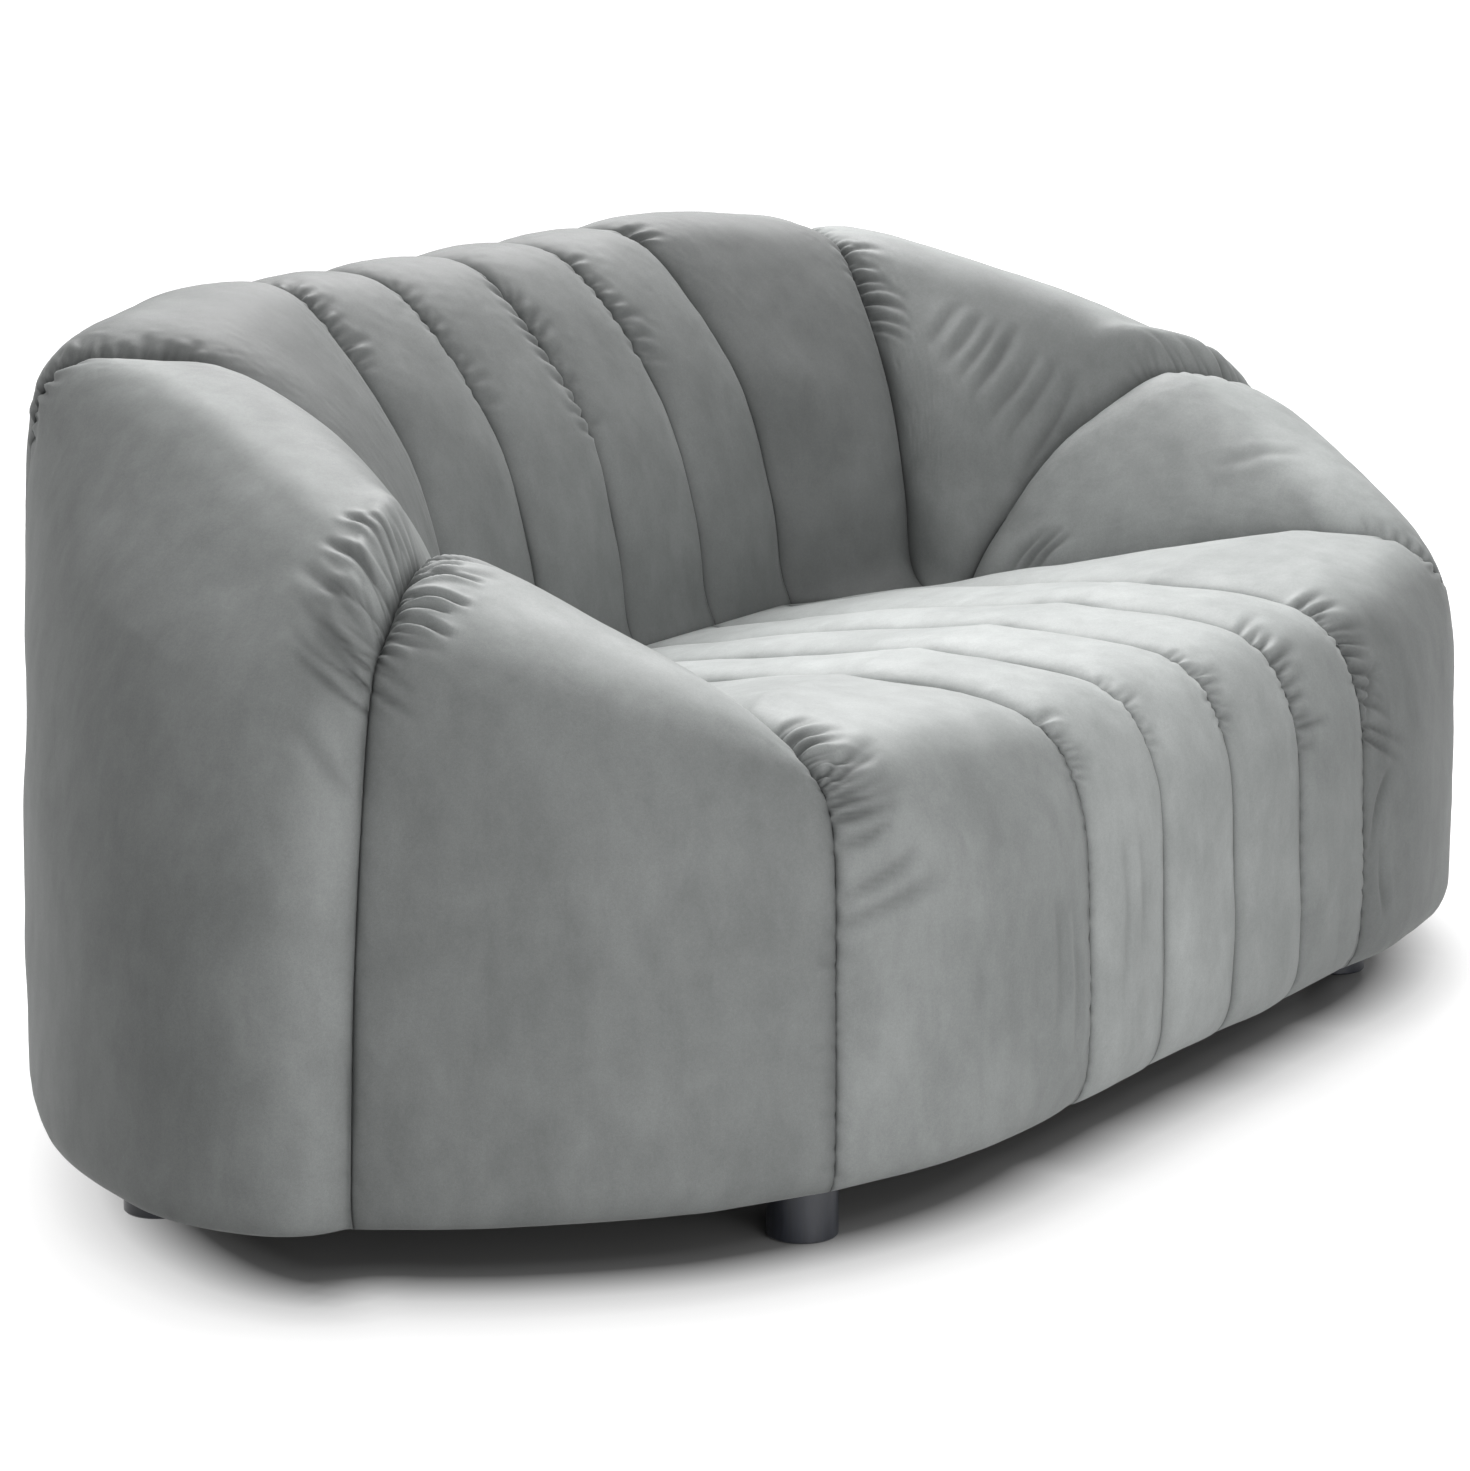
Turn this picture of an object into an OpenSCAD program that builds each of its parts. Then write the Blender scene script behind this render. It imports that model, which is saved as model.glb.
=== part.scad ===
// Two-seater sofa: sixteen stuffed channel pads, fanned round the corners, on a timber frame.
// Millimetres. X is the width, the front faces -Y, Z is up, and the sofa stands on Z = 0.
// Seat, back and arm pads meet at the two seat corners, and every seam there is a vertical plane.
// A seam line is the outline of the upholstery in a seam's plane: out is the distance from the
// seam's own origin, and up is the height.

/* [Plan] */
// Distance of each seat corner from the middle of the sofa
corner_x = 405; // [385:5:480]
// How far the seat corners lie behind the line that seat and back sizes start from
corner_y = 0; // [-10:5:30]
// Angle of the seam between seat and arm, forward from straight sideways
front_seam_angle = 66.5; // [62:0.5:72]
// Angle of the seam in the middle of the arm, forward from straight sideways
arm_seam_angle = 22.5; // [18:0.5:28]
// Angle of the seam between arm and back, backward from straight sideways
rear_seam_angle = 54; // [50:0.5:58]

/* [Seat] */
// Width of one narrow seat channel
seat_channel_w = 143; // [110:1:160]
// How far the front seams lie in front of the plan's line
seat_reach = 574; // [540:2:640]
// Height of the seat seams at their highest
seat_h = 455; // [430:1:500]
// How far behind the front seam the seat seams are highest
seat_crest_back = 238; // [200:2:300]
// Height of the crease between seat and back
crease_h = 385; // [375:1:400]
// How far the crease lies behind the plan's line
crease_y = 120; // [100:2:140]
// Depth of the rounded front edge of the seat
seat_edge_drop = 90; // [60:1:110]

/* [Back] */
// Width of one narrow back channel
back_channel_w = 150; // [110:1:160]
// How far the rear seams lie behind the plan's line
back_reach = 517; // [500:2:580]
// How far the top of the back lies behind the plan's line
back_crest_y = 380; // [370:1:400]
// Height of the back seams at their highest
back_h = 770; // [720:2:860]
// Depth of the rounded rear edge of the back
back_edge_drop = 110; // [80:2:140]
// How far the rear corner seam reaches out from the seat corner
rear_corner_reach = 443; // [420:1:460]
// Distance of that seam's top from the seat corner
rear_corner_crest = 333; // [320:1:345]
// Height of that seam at its highest
rear_corner_h = 745; // [700:2:800]
// How far that seam runs almost level before it rises
rear_corner_toe = 40; // [20:1:50]
// Depth of the rounded rear edge of that seam
rear_corner_drop = 92; // [70:2:120]
// How full the stuffing of the back stands in front of its frame, from flat to full
back_fullness = 1; // [0:0.05:1]
// How full the stuffing stands there at the rear corners
rear_corner_fullness = 0.9; // [0:0.05:1]
// How round the shoulder of the back is, from square to round
back_roundness = 1; // [-0.5:0.1:1.5]
// How round the shoulder is at the rear corners
rear_corner_roundness = -0.3; // [-0.5:0.1:1.5]

/* [Arms] */
// How far the seam in the middle of the arm reaches out from the seat corner
arm_reach = 532; // [510:2:560]
// Distance of that seam's top from the seat corner
arm_crest = 335; // [320:1:350]
// Height of that seam at its highest
arm_h = 614; // [570:2:660]
// Depth of the rounded outer edge of the arm
arm_edge_drop = 120; // [90:2:140]
// How far the outer face of the arm leans in at its top
arm_lean = 54; // [20:1:62]
// How far the seam between seat and arm reaches out from the seat corner
front_corner_reach = 560; // [540:2:600]
// Distance of that seam's top from the seat corner
front_corner_crest = 430; // [410:1:450]
// Height of that seam at its highest
front_corner_h = 476; // [455:1:500]
// Depth of the rounded front edge of that seam
front_corner_drop = 75; // [55:1:95]
// How full the stuffing of the arm stands in front of its frame, from flat to full
arm_fullness = 0.55; // [0:0.05:1]
// How round the shoulder of the arm is, from square to round
arm_roundness = 1.3; // [-0.5:0.1:1.5]
// How round the shoulder is at the seam between seat and arm
front_corner_roundness = 0.6; // [-0.5:0.1:1.5]
// How far the arm's front pad swells out beyond the straight line between its seams
arm_front_swell = 42; // [30:1:70]
// How far the arm's rear pad swells out beyond the straight line between its seams
arm_side_swell = 165; // [140:1:185]
// How early that pad swells out, counted from the arm's own seam: less than 1 is earlier
arm_side_skew = 0.58; // [0.5:0.02:1]
// Radius of the lower edge of the arms
arm_tuck_r = 14; // [10:1:30]

/* [Upholstery] */
// How far a narrow channel rises above its seams
channel_crown = 8; // [5:0.5:12]
// How far a wide pad rises above its seams on its inner face
pad_crown = 9; // [6:0.5:14]
// How far a wide back pad rises above its seams at its crest
back_end_crown = 23; // [9:0.5:28]
// How far the arm's front pad rises above its seams at its crest
arm_front_crown = 18; // [9:0.5:28]
// How far the arm's rear pad rises above its seams at its crest
arm_rear_crown = 31; // [9:0.5:36]
// How far all pads round outward on their outer faces
face_crown = 4; // [2:0.5:10]
// How far the seat's wide pads swell out at the front
seat_end_swell = 21; // [10:1:26]
// How far the back's wide pads swell out at the rear
back_end_swell = 45; // [25:1:56]
// Clearance between two pads in a seam
seam_gap = 0.3; // [0.2:0.1:1]
// Clearance between the upholstery and what it lies on
pad_gap = 0.3; // [0.2:0.1:1]
// Thickness of the upholstery on the outer faces of the frame
wrap_t = 60; // [52:1:70]
// Radius of the lower edge, where the cover turns under the frame
tuck_r = 26; // [20:1:36]
// Thickness of the stuffing on top of the back and arm frames
cap_t = 88; // [80:1:100]
// Width of the hollow in a pad that takes the frame's upper edge
core_w = 90; // [80:1:96]
// Thickness of the stuffing in front of the back frame, at the seat
back_pad_t = 105; // [90:1:115]
// Thickness of the stuffing in front of the arm and corner frames, at the seat
corner_pad_t = 92; // [80:1:98]
// Length of a pad's tip that is left off at the seat corner
tip_cut = 8; // [6:0.5:14]
// Thickness of the foam slab under the seat pads
foam_t = 70; // [50:1:72]

/* [Frame] */
// Height of the rails' upper edge, on which the seat springs lie
deck_h = 268; // [240:1:272]
// Thickness of the rails
rail_t = 22; // [18:1:28]
// Thickness of the ribs
rib_t = 18; // [12:1:22]
// How far the ribs stay inside the hollow of the pads
rib_ease = 9; // [8.5:0.5:12]
// Depth of the top rails
top_rail_h = 60; // [40:1:80]
// Thickness of the top rails
top_rail_t = 45; // [30:1:55]
// Clearance between the arm braces and the pads at their lower ends
brace_ease = 3; // [1:0.5:5]
// Thickness of the spring rail
spring_rail_t = 36; // [34:1:44]
// Depth of the spring rail
spring_rail_h = 68; // [50:1:90]
// Distance of the spring rail's ends from the middle
spring_rail_x = 385; // [380:1:390]
// Distance of each cross rail from the middle
cross_rail_x = 150; // [100:1:200]
// Depth of the cross rails
cross_rail_h = 42; // [30:1:60]
// Thickness of the dust cover
cover_t = 1.5; // [1:0.1:3]
// Distance of the dust cover's edge from the rails' outer faces
cover_inset = 8; // [4:0.5:14]

/* [Springs] */
// Diameter of the spring wire
wire_d = 4; // [3:0.1:4.6]
// Width of a sinuous spring
spring_w = 58; // [54:1:64]
// Distance between neighbouring runs of a spring
spring_pitch = 34; // [30:1:36]
// Distance between neighbouring seat springs
seat_spring_step = 100; // [80:1:105]
// Distance between neighbouring back springs
back_spring_step = 120; // [100:1:130]
// Height of a spring clip
clip_h = 7; // [6.5:0.1:9]
// Width of a spring clip along the wire
clip_w = 15; // [10:1:16]
// Length of a spring clip across the wire
clip_l = 12; // [9:0.5:14]
// Clearance round the wire in a clip
clip_gap = 0.2; // [0.1:0.05:0.4]

/* [Feet] */
// Diameter of a foot
foot_d = 65; // [50:1:80]
// Height of the frame's underside above the floor
base_h = 76.5; // [60:0.5:110]
// Chamfer of a foot's edges
foot_chamfer = 1.5; // [0.5:0.1:3]
// Diameter of a glide under a foot
glide_d = 34; // [24:1:44]
// How far a glide stands out below its foot
glide_out = 2; // [1:0.1:4]
// How far a glide is let into its foot
glide_in = 3; // [1:0.1:5]
// Diameter of a foot bolt
bolt_d = 8; // [6:0.5:10]
// Length of a foot bolt inside its foot
bolt_in_foot = 38; // [20:1:50]
// Length of a foot bolt inside its block
bolt_in_block = 34; // [20:1:38]
// Clearance round a foot bolt
bolt_gap = 0.2; // [0.1:0.05:0.4]
// Side of a foot block
block_w = 110; // [90:1:120]
// Thickness of a foot block
block_t = 45; // [40:1:60]
// Distance of the front feet from the front corner, along the rail
front_foot_along = 57; // [50:1:120]
// Distance of the front feet from the rail's outer face
front_foot_in = 47; // [42:1:60]
// Distance of the side feet from the corner of the arm rails, along the rear one
side_foot_along = 51; // [45:1:90]
// Distance of the side feet from the rail's outer face
side_foot_in = 38; // [36:1:60]
// Distance of the rear feet from the rear corner, along the rail
rear_foot_along = 231; // [180:1:280]
// Distance of the rear feet from the rail's outer face
rear_foot_in = 59; // [45:1:80]

/* [Hidden] */
$fn = 48;

velvet = [0.47, 0.49, 0.48];
timber = [0.80, 0.66, 0.47];
steel = [0.62, 0.63, 0.65];
black = [0.11, 0.12, 0.14];
foam = [0.90, 0.86, 0.70];

frame_z = base_h + cover_t;
foam_z = deck_h + clip_h + pad_gap;
pad_floor = foam_z + foam_t + pad_gap;
// The plan's line is moved so that the origin lies midway between the front and the rear
plan_y = (seat_reach - back_reach) / 2;

// Shape of the cover in front of a rib: how far out it is at four heights, from flat to full
FLAT_OUT = [0.07, 0.27, 0.58, 0.90];
FULL_OUT = [0.02, 0.074, 0.253, 0.669];
RISE_AT = [0.09, 0.318, 0.636, 0.952];
// Points along each stretch of a seam line
STEPS = [1, 1, 2, 3, 3, 3, 3, 2, 1, 2, 2, 1];
// The points of a seam line that face the next point of a seat pad's hollow, and of the others'
SEAT_JOINS = [23, 17, 6, 0];
UPRIGHT_JOINS = [23, 19, 16, 10, 4, 1, 0];
NARROW_RINGS = 6;
WIDE_RINGS = 10;
// Facets of a bend of spring wire, and sides of the wire
BEND_STEPS = 3;
WIRE_SIDES = 5;

function mix(a, b, t) = a + (b - a) * t;
function ramp(a, b, t) = let (u = min(1, max(0, (t - a) / (b - a)))) u * u * (3 - 2 * u);
function heading(angle) = [cos(angle), sin(angle)];
function turned_left(v) = [-v[1], v[0]];

// A seam: its origin, the direction of its plane, and the sizes of its line
function seam(origin, angle, line) = [origin, angle, line];
function origin_of(s) = s[0];
function angle_of(s) = s[1];
function line_of(s) = s[2];

// A line's sizes: start, start height, crest, crest height, reach, edge drop, fullness, lean,
// radius of the lower edge, the almost level toe at the start, and the shoulder's roundness
function start_of(l) = l[0];
function start_h_of(l) = l[1];
function crest_of(l) = l[2];
function crest_h_of(l) = l[3];
function reach_of(l) = l[4];
function drop_of(l) = l[5];
function fullness_of(l) = l[6];
function lean_of(l) = l[7];
function tuck_of(l) = l[8];
function toe_of(l) = l[9];
function round_of(l) = l[10];

SEAT_LINE = [-crease_y, crease_h, seat_reach - seat_crest_back, seat_h, seat_reach,
             seat_edge_drop, 0, 0, tuck_r, 0, 0];
BACK_LINE = [crease_y + seam_gap, crease_h, back_crest_y, back_h, back_reach, back_edge_drop,
             back_fullness, 0, tuck_r, 0, back_roundness];
REAR_CORNER_LINE = [tip_cut, crease_h, rear_corner_crest, rear_corner_h, rear_corner_reach,
                    rear_corner_drop, rear_corner_fullness, 0, arm_tuck_r, rear_corner_toe,
                    rear_corner_roundness];
ARM_LINE = [tip_cut, crease_h, arm_crest, arm_h, arm_reach, arm_edge_drop, arm_fullness, arm_lean,
            arm_tuck_r, 0, arm_roundness];
FRONT_CORNER_LINE = [tip_cut, crease_h, front_corner_crest, front_corner_h, front_corner_reach,
                     front_corner_drop, 0, 0, arm_tuck_r, 0, front_corner_roundness];

seat_corner = [corner_x, plan_y + corner_y];
FRONT_CORNER = seam(seat_corner, -front_seam_angle, FRONT_CORNER_LINE);
ARM = seam(seat_corner, -arm_seam_angle, ARM_LINE);
REAR_CORNER = seam(seat_corner, rear_seam_angle, REAR_CORNER_LINE);
function seat_seam(i) = seam([i * seat_channel_w, plan_y], -90, SEAT_LINE);
function back_seam(i) = seam([i * back_channel_w, plan_y], 90, BACK_LINE);

// The knots at which the outline of the frame turns, right side, from the front to the rear
arm_side_angle = (rear_seam_angle - arm_seam_angle) / 2;
side_out = (plan_point(ARM, arm_reach) + plan_point(REAR_CORNER, rear_corner_reach)) / 2
    + (arm_side_swell * bulge(pow(0.5, arm_side_skew)) - wrap_t) * heading(arm_side_angle)
    - seat_corner;
function knot(s, reach) = [origin_of(s), angle_of(s), reach - wrap_t];
FRONT_KNOT = knot(seat_seam(2), seat_reach);
FRONT_CORNER_KNOT = knot(FRONT_CORNER, front_corner_reach);
ARM_KNOT = knot(ARM, arm_reach);
SIDE_KNOT = [seat_corner, atan2(side_out[1], side_out[0]), norm(side_out)];
REAR_CORNER_KNOT = knot(REAR_CORNER, rear_corner_reach);
REAR_KNOT = knot(back_seam(2), back_reach);

// The point of a seam's plane at a distance out, and how far it is set off to the left
function plan_point(s, out, off = 0) =
    origin_of(s) + out * heading(angle_of(s)) + off * turned_left(heading(angle_of(s)));
function lift(p, z) = [p[0], p[1], z];

// The twelve stretches of a seam line start and end at these points
function seam_keys(l) =
    let (
        from = start_of(l) + toe_of(l),
        rise = crest_h_of(l) - start_h_of(l),
        over = reach_of(l) - crest_of(l),
        edge_h = crest_h_of(l) - drop_of(l),
        face = reach_of(l),
        inner = [for (i = [0:3])
            [mix(from, crest_of(l), mix(FLAT_OUT[i], FULL_OUT[i], fullness_of(l))),
             start_h_of(l) + rise * RISE_AT[i]]]
    )
    concat(
        [[start_of(l), start_h_of(l)]],
        inner,
        [[crest_of(l), crest_h_of(l)],
         [crest_of(l) + over * mix(0.7, 0.6, round_of(l)),
          crest_h_of(l) - drop_of(l) * mix(0.13, 0.3, round_of(l))],
         [face - lean_of(l) - over * 0.05, edge_h],
         [face - lean_of(l) * 0.4, (base_h + edge_h) / 2],
         [face, base_h + tuck_of(l) * 2],
         [face - tuck_of(l) * 0.3, base_h + tuck_of(l)],
         [face - tuck_of(l), base_h],
         [face - wrap_t, base_h]]);

// A smooth curve through key points
function curve_point(k, i, t) =
    let (
        before = k[max(i - 1, 0)],
        from = k[i],
        to = k[i + 1],
        after = k[min(i + 2, len(k) - 1)]
    )
    (2 * from + (to - before) * t + (2 * before - 5 * from + 4 * to - after) * t * t
        + (3 * from - before - 3 * to + after) * t * t * t) / 2;
function curve(k, steps) =
    concat(
        [for (i = [0:len(k) - 2]) for (j = [0:steps[i] - 1]) curve_point(k, i, j / steps[i])],
        [k[len(k) - 1]]);
function seam_line(l) = curve(seam_keys(l), STEPS);

// How much a pad rises between its two seams, from 0 at a seam to 1 midway
function swell(t) = pow(1 - pow(abs(2 * t - 1), 2.4), 0.6);
// How far a point of the line rises midway: none at the crease and at the lower edge
function rise_at(u, crest_crown, inner_crown) =
    mix(mix(inner_crown, crest_crown, ramp(0.22, 0.42, u)), face_crown, ramp(0.46, 0.68, u))
        * ramp(0, 0.15, u) * (1 - ramp(0.78, 0.95, u));
// How much a pad's outline bulges between its two seams
function bulge(t) = sin(180 * t);
// How much of that bulge a point of the line takes, none from the crease up to the crest
function outer_share(u) = ramp(0.5, 0.76, u);

// The visible line of a pad at t between seams a and b, from the crease to the underside
function shown_line(a, b, t, gap, crown, inner_crown, outer_swell, skew) =
    let (
        la = seam_line(line_of(a)),
        lb = seam_line(line_of(b)),
        last = len(la) - 1,
        way = heading(mix(angle_of(a), angle_of(b), t))
    )
    [for (i = [0:last])
        let (
            u = i / last,
            after = min(i + 1, last),
            before = max(i - 1, 0),
            along = mix(la[after] - la[before], lb[after] - lb[before], t),
            normal = turned_left(along) / norm(along),
            rise = rise_at(u, crown, inner_crown) * swell(t),
            push = normal[0] * rise + outer_swell * outer_share(u) * bulge(pow(t, skew)),
            p = mix(seam_point(a, la[i], gap), seam_point(b, lb[i], -gap), t)
        )
        [p[0] + push * way[0], p[1] + push * way[1], max(p[2] + normal[1] * rise, base_h)]];

// The triangles that close a ring of n points: a fan, or between a pad's visible line and its
// hollow a strip, where joins lists the points of the visible line at which the hollow's change
function closing(n, joins) =
    joins == undef ? [for (j = [1:n - 2]) [0, j, j + 1]]
    : let (
        hollow = len(joins) - 1,
        shown = n - hollow
    )
    concat(
        [for (m = [0:hollow - 1]) for (j = [joins[m + 1]:1:joins[m] - 1]) [j, j + 1, shown + m]],
        [for (m = [0:hollow - 2]) [joins[m + 1], shown + m, shown + m + 1]]);

// A closed solid through rings of points, each ring with as many points as the next
module loft(rings, joins = undef) {
    n = len(rings[0]);
    last = len(rings) - 1;
    points = [for (r = rings) each r];
    walls = [for (i = [0:last - 1]) for (j = [0:n - 1])
        let (k = (j + 1) % n)
        each [[i * n + j, (i + 1) * n + k, i * n + k], [i * n + j, (i + 1) * n + j, (i + 1) * n + k]]];
    first_cap = closing(n, joins);
    last_cap = [for (f = first_cap) [for (j = [2:-1:0]) last * n + f[j]]];
    polyhedron(points = points, faces = concat(walls, first_cap, last_cap), convexity = 6);
}

// A pad between seam a and seam b, which lies counter-clockwise of it in plan. Each hollow is the
// list of points of the pad's inner side, from the outer lower edge back to the crease
module pad(a, b, rings, crown, inner_crown, outer_swell, hollow_a, hollow_b,
           hollow_mid = undef, skew = 1) {
    gap = seam_gap / 2;
    loft([for (i = [0:rings])
        let (
            t = (1 - cos(180 * i / rings)) / 2,
            shown = shown_line(a, b, t, gap, crown, inner_crown, outer_swell, skew)
        )
        concat(
            [for (j = [0:len(shown) - 2]) shown[j]],
            [for (j = [0:len(hollow_a) - 1])
                let (
                    pa = seam_point(a, hollow_a[j], gap),
                    pb = seam_point(b, hollow_b[j], -gap),
                    pm = hollow_mid == undef ? undef : hollow_mid[j]
                )
                pm == undef ? mix(pa, pb, t) : bent(pa, pm, pb, t)])],
        len(hollow_a) == len(SEAT_JOINS) - 1 ? SEAT_JOINS : UPRIGHT_JOINS);
}
function seam_point(s, p, off) = lift(plan_point(s, p[0], off), p[1]);
function bent(a, m, b, t) = t < 0.5 ? mix(a, m, 2 * t) : mix(m, b, 2 * t - 1);

// The inner side of the seat pads: down the front rail, and flat on the foam
function seat_hollow(l) =
    [[reach_of(l) - wrap_t, base_h], [reach_of(l) - wrap_t, pad_floor], [start_of(l), pad_floor]];
// The inner side of the back and arm pads: over the upper edge of the frame, and down to the foam
function upright_hollow(l, pad_t) =
    [[reach_of(l) - wrap_t, base_h],
     [reach_of(l) - wrap_t, deck_h],
     [min(crest_of(l) + core_w / 2, reach_of(l) - wrap_t - lean_of(l)), crest_h_of(l) - cap_t],
     [crest_of(l) - core_w / 2, crest_h_of(l) - cap_t],
     [start_of(l) + pad_t, pad_floor],
     [start_of(l), pad_floor]];

front_corner_hollow = upright_hollow(FRONT_CORNER_LINE, corner_pad_t);
arm_hollow = upright_hollow(ARM_LINE, corner_pad_t);
rear_corner_hollow = upright_hollow(REAR_CORNER_LINE, corner_pad_t);
back_hollow = upright_hollow(BACK_LINE, back_pad_t);
// The rails under the arm's rear pad turn once between its seams
arm_side_hollow = [for (h = [base_h, deck_h]) lift(knot_point(SIDE_KNOT), h)];

module seat_channel_pad(i) {
    hollow = seat_hollow(SEAT_LINE);
    color(velvet)
        pad(seat_seam(i), seat_seam(i + 1), NARROW_RINGS, channel_crown, channel_crown, 0,
            hollow, hollow);
}

module seat_end_pad() {
    color(velvet)
        pad(seat_seam(2), FRONT_CORNER, WIDE_RINGS, pad_crown, pad_crown, seat_end_swell,
            seat_hollow(SEAT_LINE), seat_hollow(FRONT_CORNER_LINE));
}

module back_channel_pad(i) {
    color(velvet)
        pad(back_seam(i + 1), back_seam(i), NARROW_RINGS, channel_crown, channel_crown, 0,
            back_hollow, back_hollow);
}

module back_end_pad() {
    color(velvet)
        pad(REAR_CORNER, back_seam(2), WIDE_RINGS, back_end_crown, pad_crown, back_end_swell,
            rear_corner_hollow, back_hollow);
}

module arm_front_pad() {
    color(velvet)
        pad(FRONT_CORNER, ARM, WIDE_RINGS, arm_front_crown, pad_crown, arm_front_swell,
            front_corner_hollow, arm_hollow);
}

module arm_rear_pad() {
    color(velvet)
        pad(ARM, REAR_CORNER, WIDE_RINGS, arm_rear_crown, pad_crown, arm_side_swell, arm_hollow,
            rear_corner_hollow, arm_side_hollow, arm_side_skew);
}

// A knot's point at the given distance outside the frame's outline
function knot_point(k, more = 0) = k[0] + (k[2] + more) * heading(k[1]);
// Where a knot's plane meets the line that lies the given distance inside the line from a to b
function inner_point(k, a, b, inward) =
    let (
        along = knot_point(b) - knot_point(a),
        into = turned_left(along) / norm(along),
        out = (inward - (k[0] - knot_point(a)) * into) / (heading(k[1]) * into)
    )
    k[0] + out * heading(k[1]);

// A board on edge that follows the frame's outline from knot a to knot b
module rail(a, b) {
    color(timber)
        translate([0, 0, frame_z])
            linear_extrude(height = deck_h - frame_z)
                polygon([inner_point(a, a, b, pad_gap), inner_point(b, a, b, pad_gap),
                         inner_point(b, a, b, rail_t), inner_point(a, a, b, rail_t)]);
}

function mirrored(k) = [[-k[0][0], k[0][1]], 180 - k[1], k[2]];

module front_rail() {
    rail(mirrored(FRONT_KNOT), FRONT_KNOT);
}

module rear_rail() {
    rail(REAR_KNOT, mirrored(REAR_KNOT));
}

// Lays a flat drawing, whose x is the distance out and whose y is the height, in a seam's plane
module in_plane_of(s, thickness) {
    translate(lift(origin_of(s), 0))
        rotate([0, 0, angle_of(s)])
            rotate([90, 0, 0])
                linear_extrude(height = thickness, center = true)
                    children();
}

// The room that the two rails take which meet at knot b
module rail_room(a, b, c) {
    translate([0, 0, frame_z - rail_t])
        linear_extrude(height = deck_h - frame_z + rail_t)
            polygon([knot_point(a), knot_point(b), knot_point(c), inner_point(c, b, c, rail_t),
                     inner_point(b, b, c, rail_t), inner_point(b, a, b, rail_t),
                     inner_point(a, a, b, rail_t)]);
}

// A board in a seam's plane, from the underside to just below the pads' hollow
module rib(s, hollow) {
    face = hollow[1][0] - rib_ease;
    color(timber)
        difference() {
            in_plane_of(s, rib_t)
                polygon([[hollow[4][0] + rib_ease, frame_z],
                         [face, frame_z],
                         [face, deck_h],
                         [hollow[2][0] - rib_ease, hollow[2][1] - rib_ease],
                         [hollow[3][0] + rib_ease, hollow[3][1] - rib_ease],
                         [hollow[4][0] + rib_ease, pad_floor]]);
            children();
        }
}

module back_rib() {
    rib(back_seam(2), back_hollow)
        rail_room(REAR_CORNER_KNOT, REAR_KNOT, mirrored(REAR_KNOT));
}

module corner_rib() {
    rib(REAR_CORNER, rear_corner_hollow)
        rail_room(SIDE_KNOT, REAR_CORNER_KNOT, REAR_KNOT);
}

module arm_rib() {
    rib(ARM, arm_hollow)
        rail_room(FRONT_CORNER_KNOT, ARM_KNOT, SIDE_KNOT);
}

// The end of a beam in a seam's plane, as four points from its lower inner corner
function beam_end(s, out, top, off) =
    [for (p = [[out, top - top_rail_h], [out, top], [out + top_rail_t, top],
               [out + top_rail_t, top - top_rail_h]])
        lift(plan_point(s, p[0], off), p[1])];

// A beam between the ribs of seam a and seam b, with its front upper edge just below the hollow
module top_rail(a, hollow_a, b, hollow_b, off_a, off_b) {
    color(timber)
        loft([beam_end(a, hollow_a[3][0] + rib_ease, hollow_a[3][1] - rib_ease, off_a),
              beam_end(b, hollow_b[3][0] + rib_ease, hollow_b[3][1] - rib_ease, off_b)]);
}

module back_top_rail() {
    left_seam = seam([-2 * back_channel_w, plan_y], 90, BACK_LINE);
    top_rail(back_seam(2), back_hollow, left_seam, back_hollow, rib_t / 2, -rib_t / 2);
}

module corner_top_rail() {
    top_rail(REAR_CORNER, rear_corner_hollow, back_seam(2), back_hollow, rib_t / 2, -rib_t / 2);
}

module arm_top_rail() {
    top_rail(ARM, arm_hollow, REAR_CORNER, rear_corner_hollow, rib_t / 2, -rib_t / 2);
}

// How far the hollow at the front corner leans in over the height of a brace
brace_lean = (front_corner_hollow[1][0] - front_corner_hollow[2][0]) * top_rail_h
    / (front_corner_hollow[2][1] - front_corner_hollow[1][1]);

// A brace from the arm rib's top down to the corner where the front and arm rails meet
module arm_brace() {
    color(timber)
        loft([beam_end(FRONT_CORNER,
                       front_corner_hollow[1][0] - brace_lean - top_rail_t - brace_ease,
                       deck_h + top_rail_h, 0),
              beam_end(ARM, arm_hollow[3][0] + rib_ease, arm_hollow[3][1] - rib_ease, -rib_t / 2)]);
}

spring_rail_y = plan_y + BACK_LINE[0] + back_pad_t + rib_ease;

module spring_rail() {
    color(timber)
        translate([-spring_rail_x, spring_rail_y - spring_rail_t, deck_h - spring_rail_h])
            cube([2 * spring_rail_x, spring_rail_t, spring_rail_h]);
}

front_inner_y = inner_point(FRONT_KNOT, mirrored(FRONT_KNOT), FRONT_KNOT, rail_t)[1];
rear_inner_y = inner_point(REAR_KNOT, REAR_KNOT, mirrored(REAR_KNOT), rail_t)[1];

module cross_rails() {
    color(timber)
        for (x = [-cross_rail_x, cross_rail_x])
            translate([x - rail_t / 2, front_inner_y, frame_z])
                cube([rail_t, rear_inner_y - front_inner_y, cross_rail_h]);
}

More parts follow.
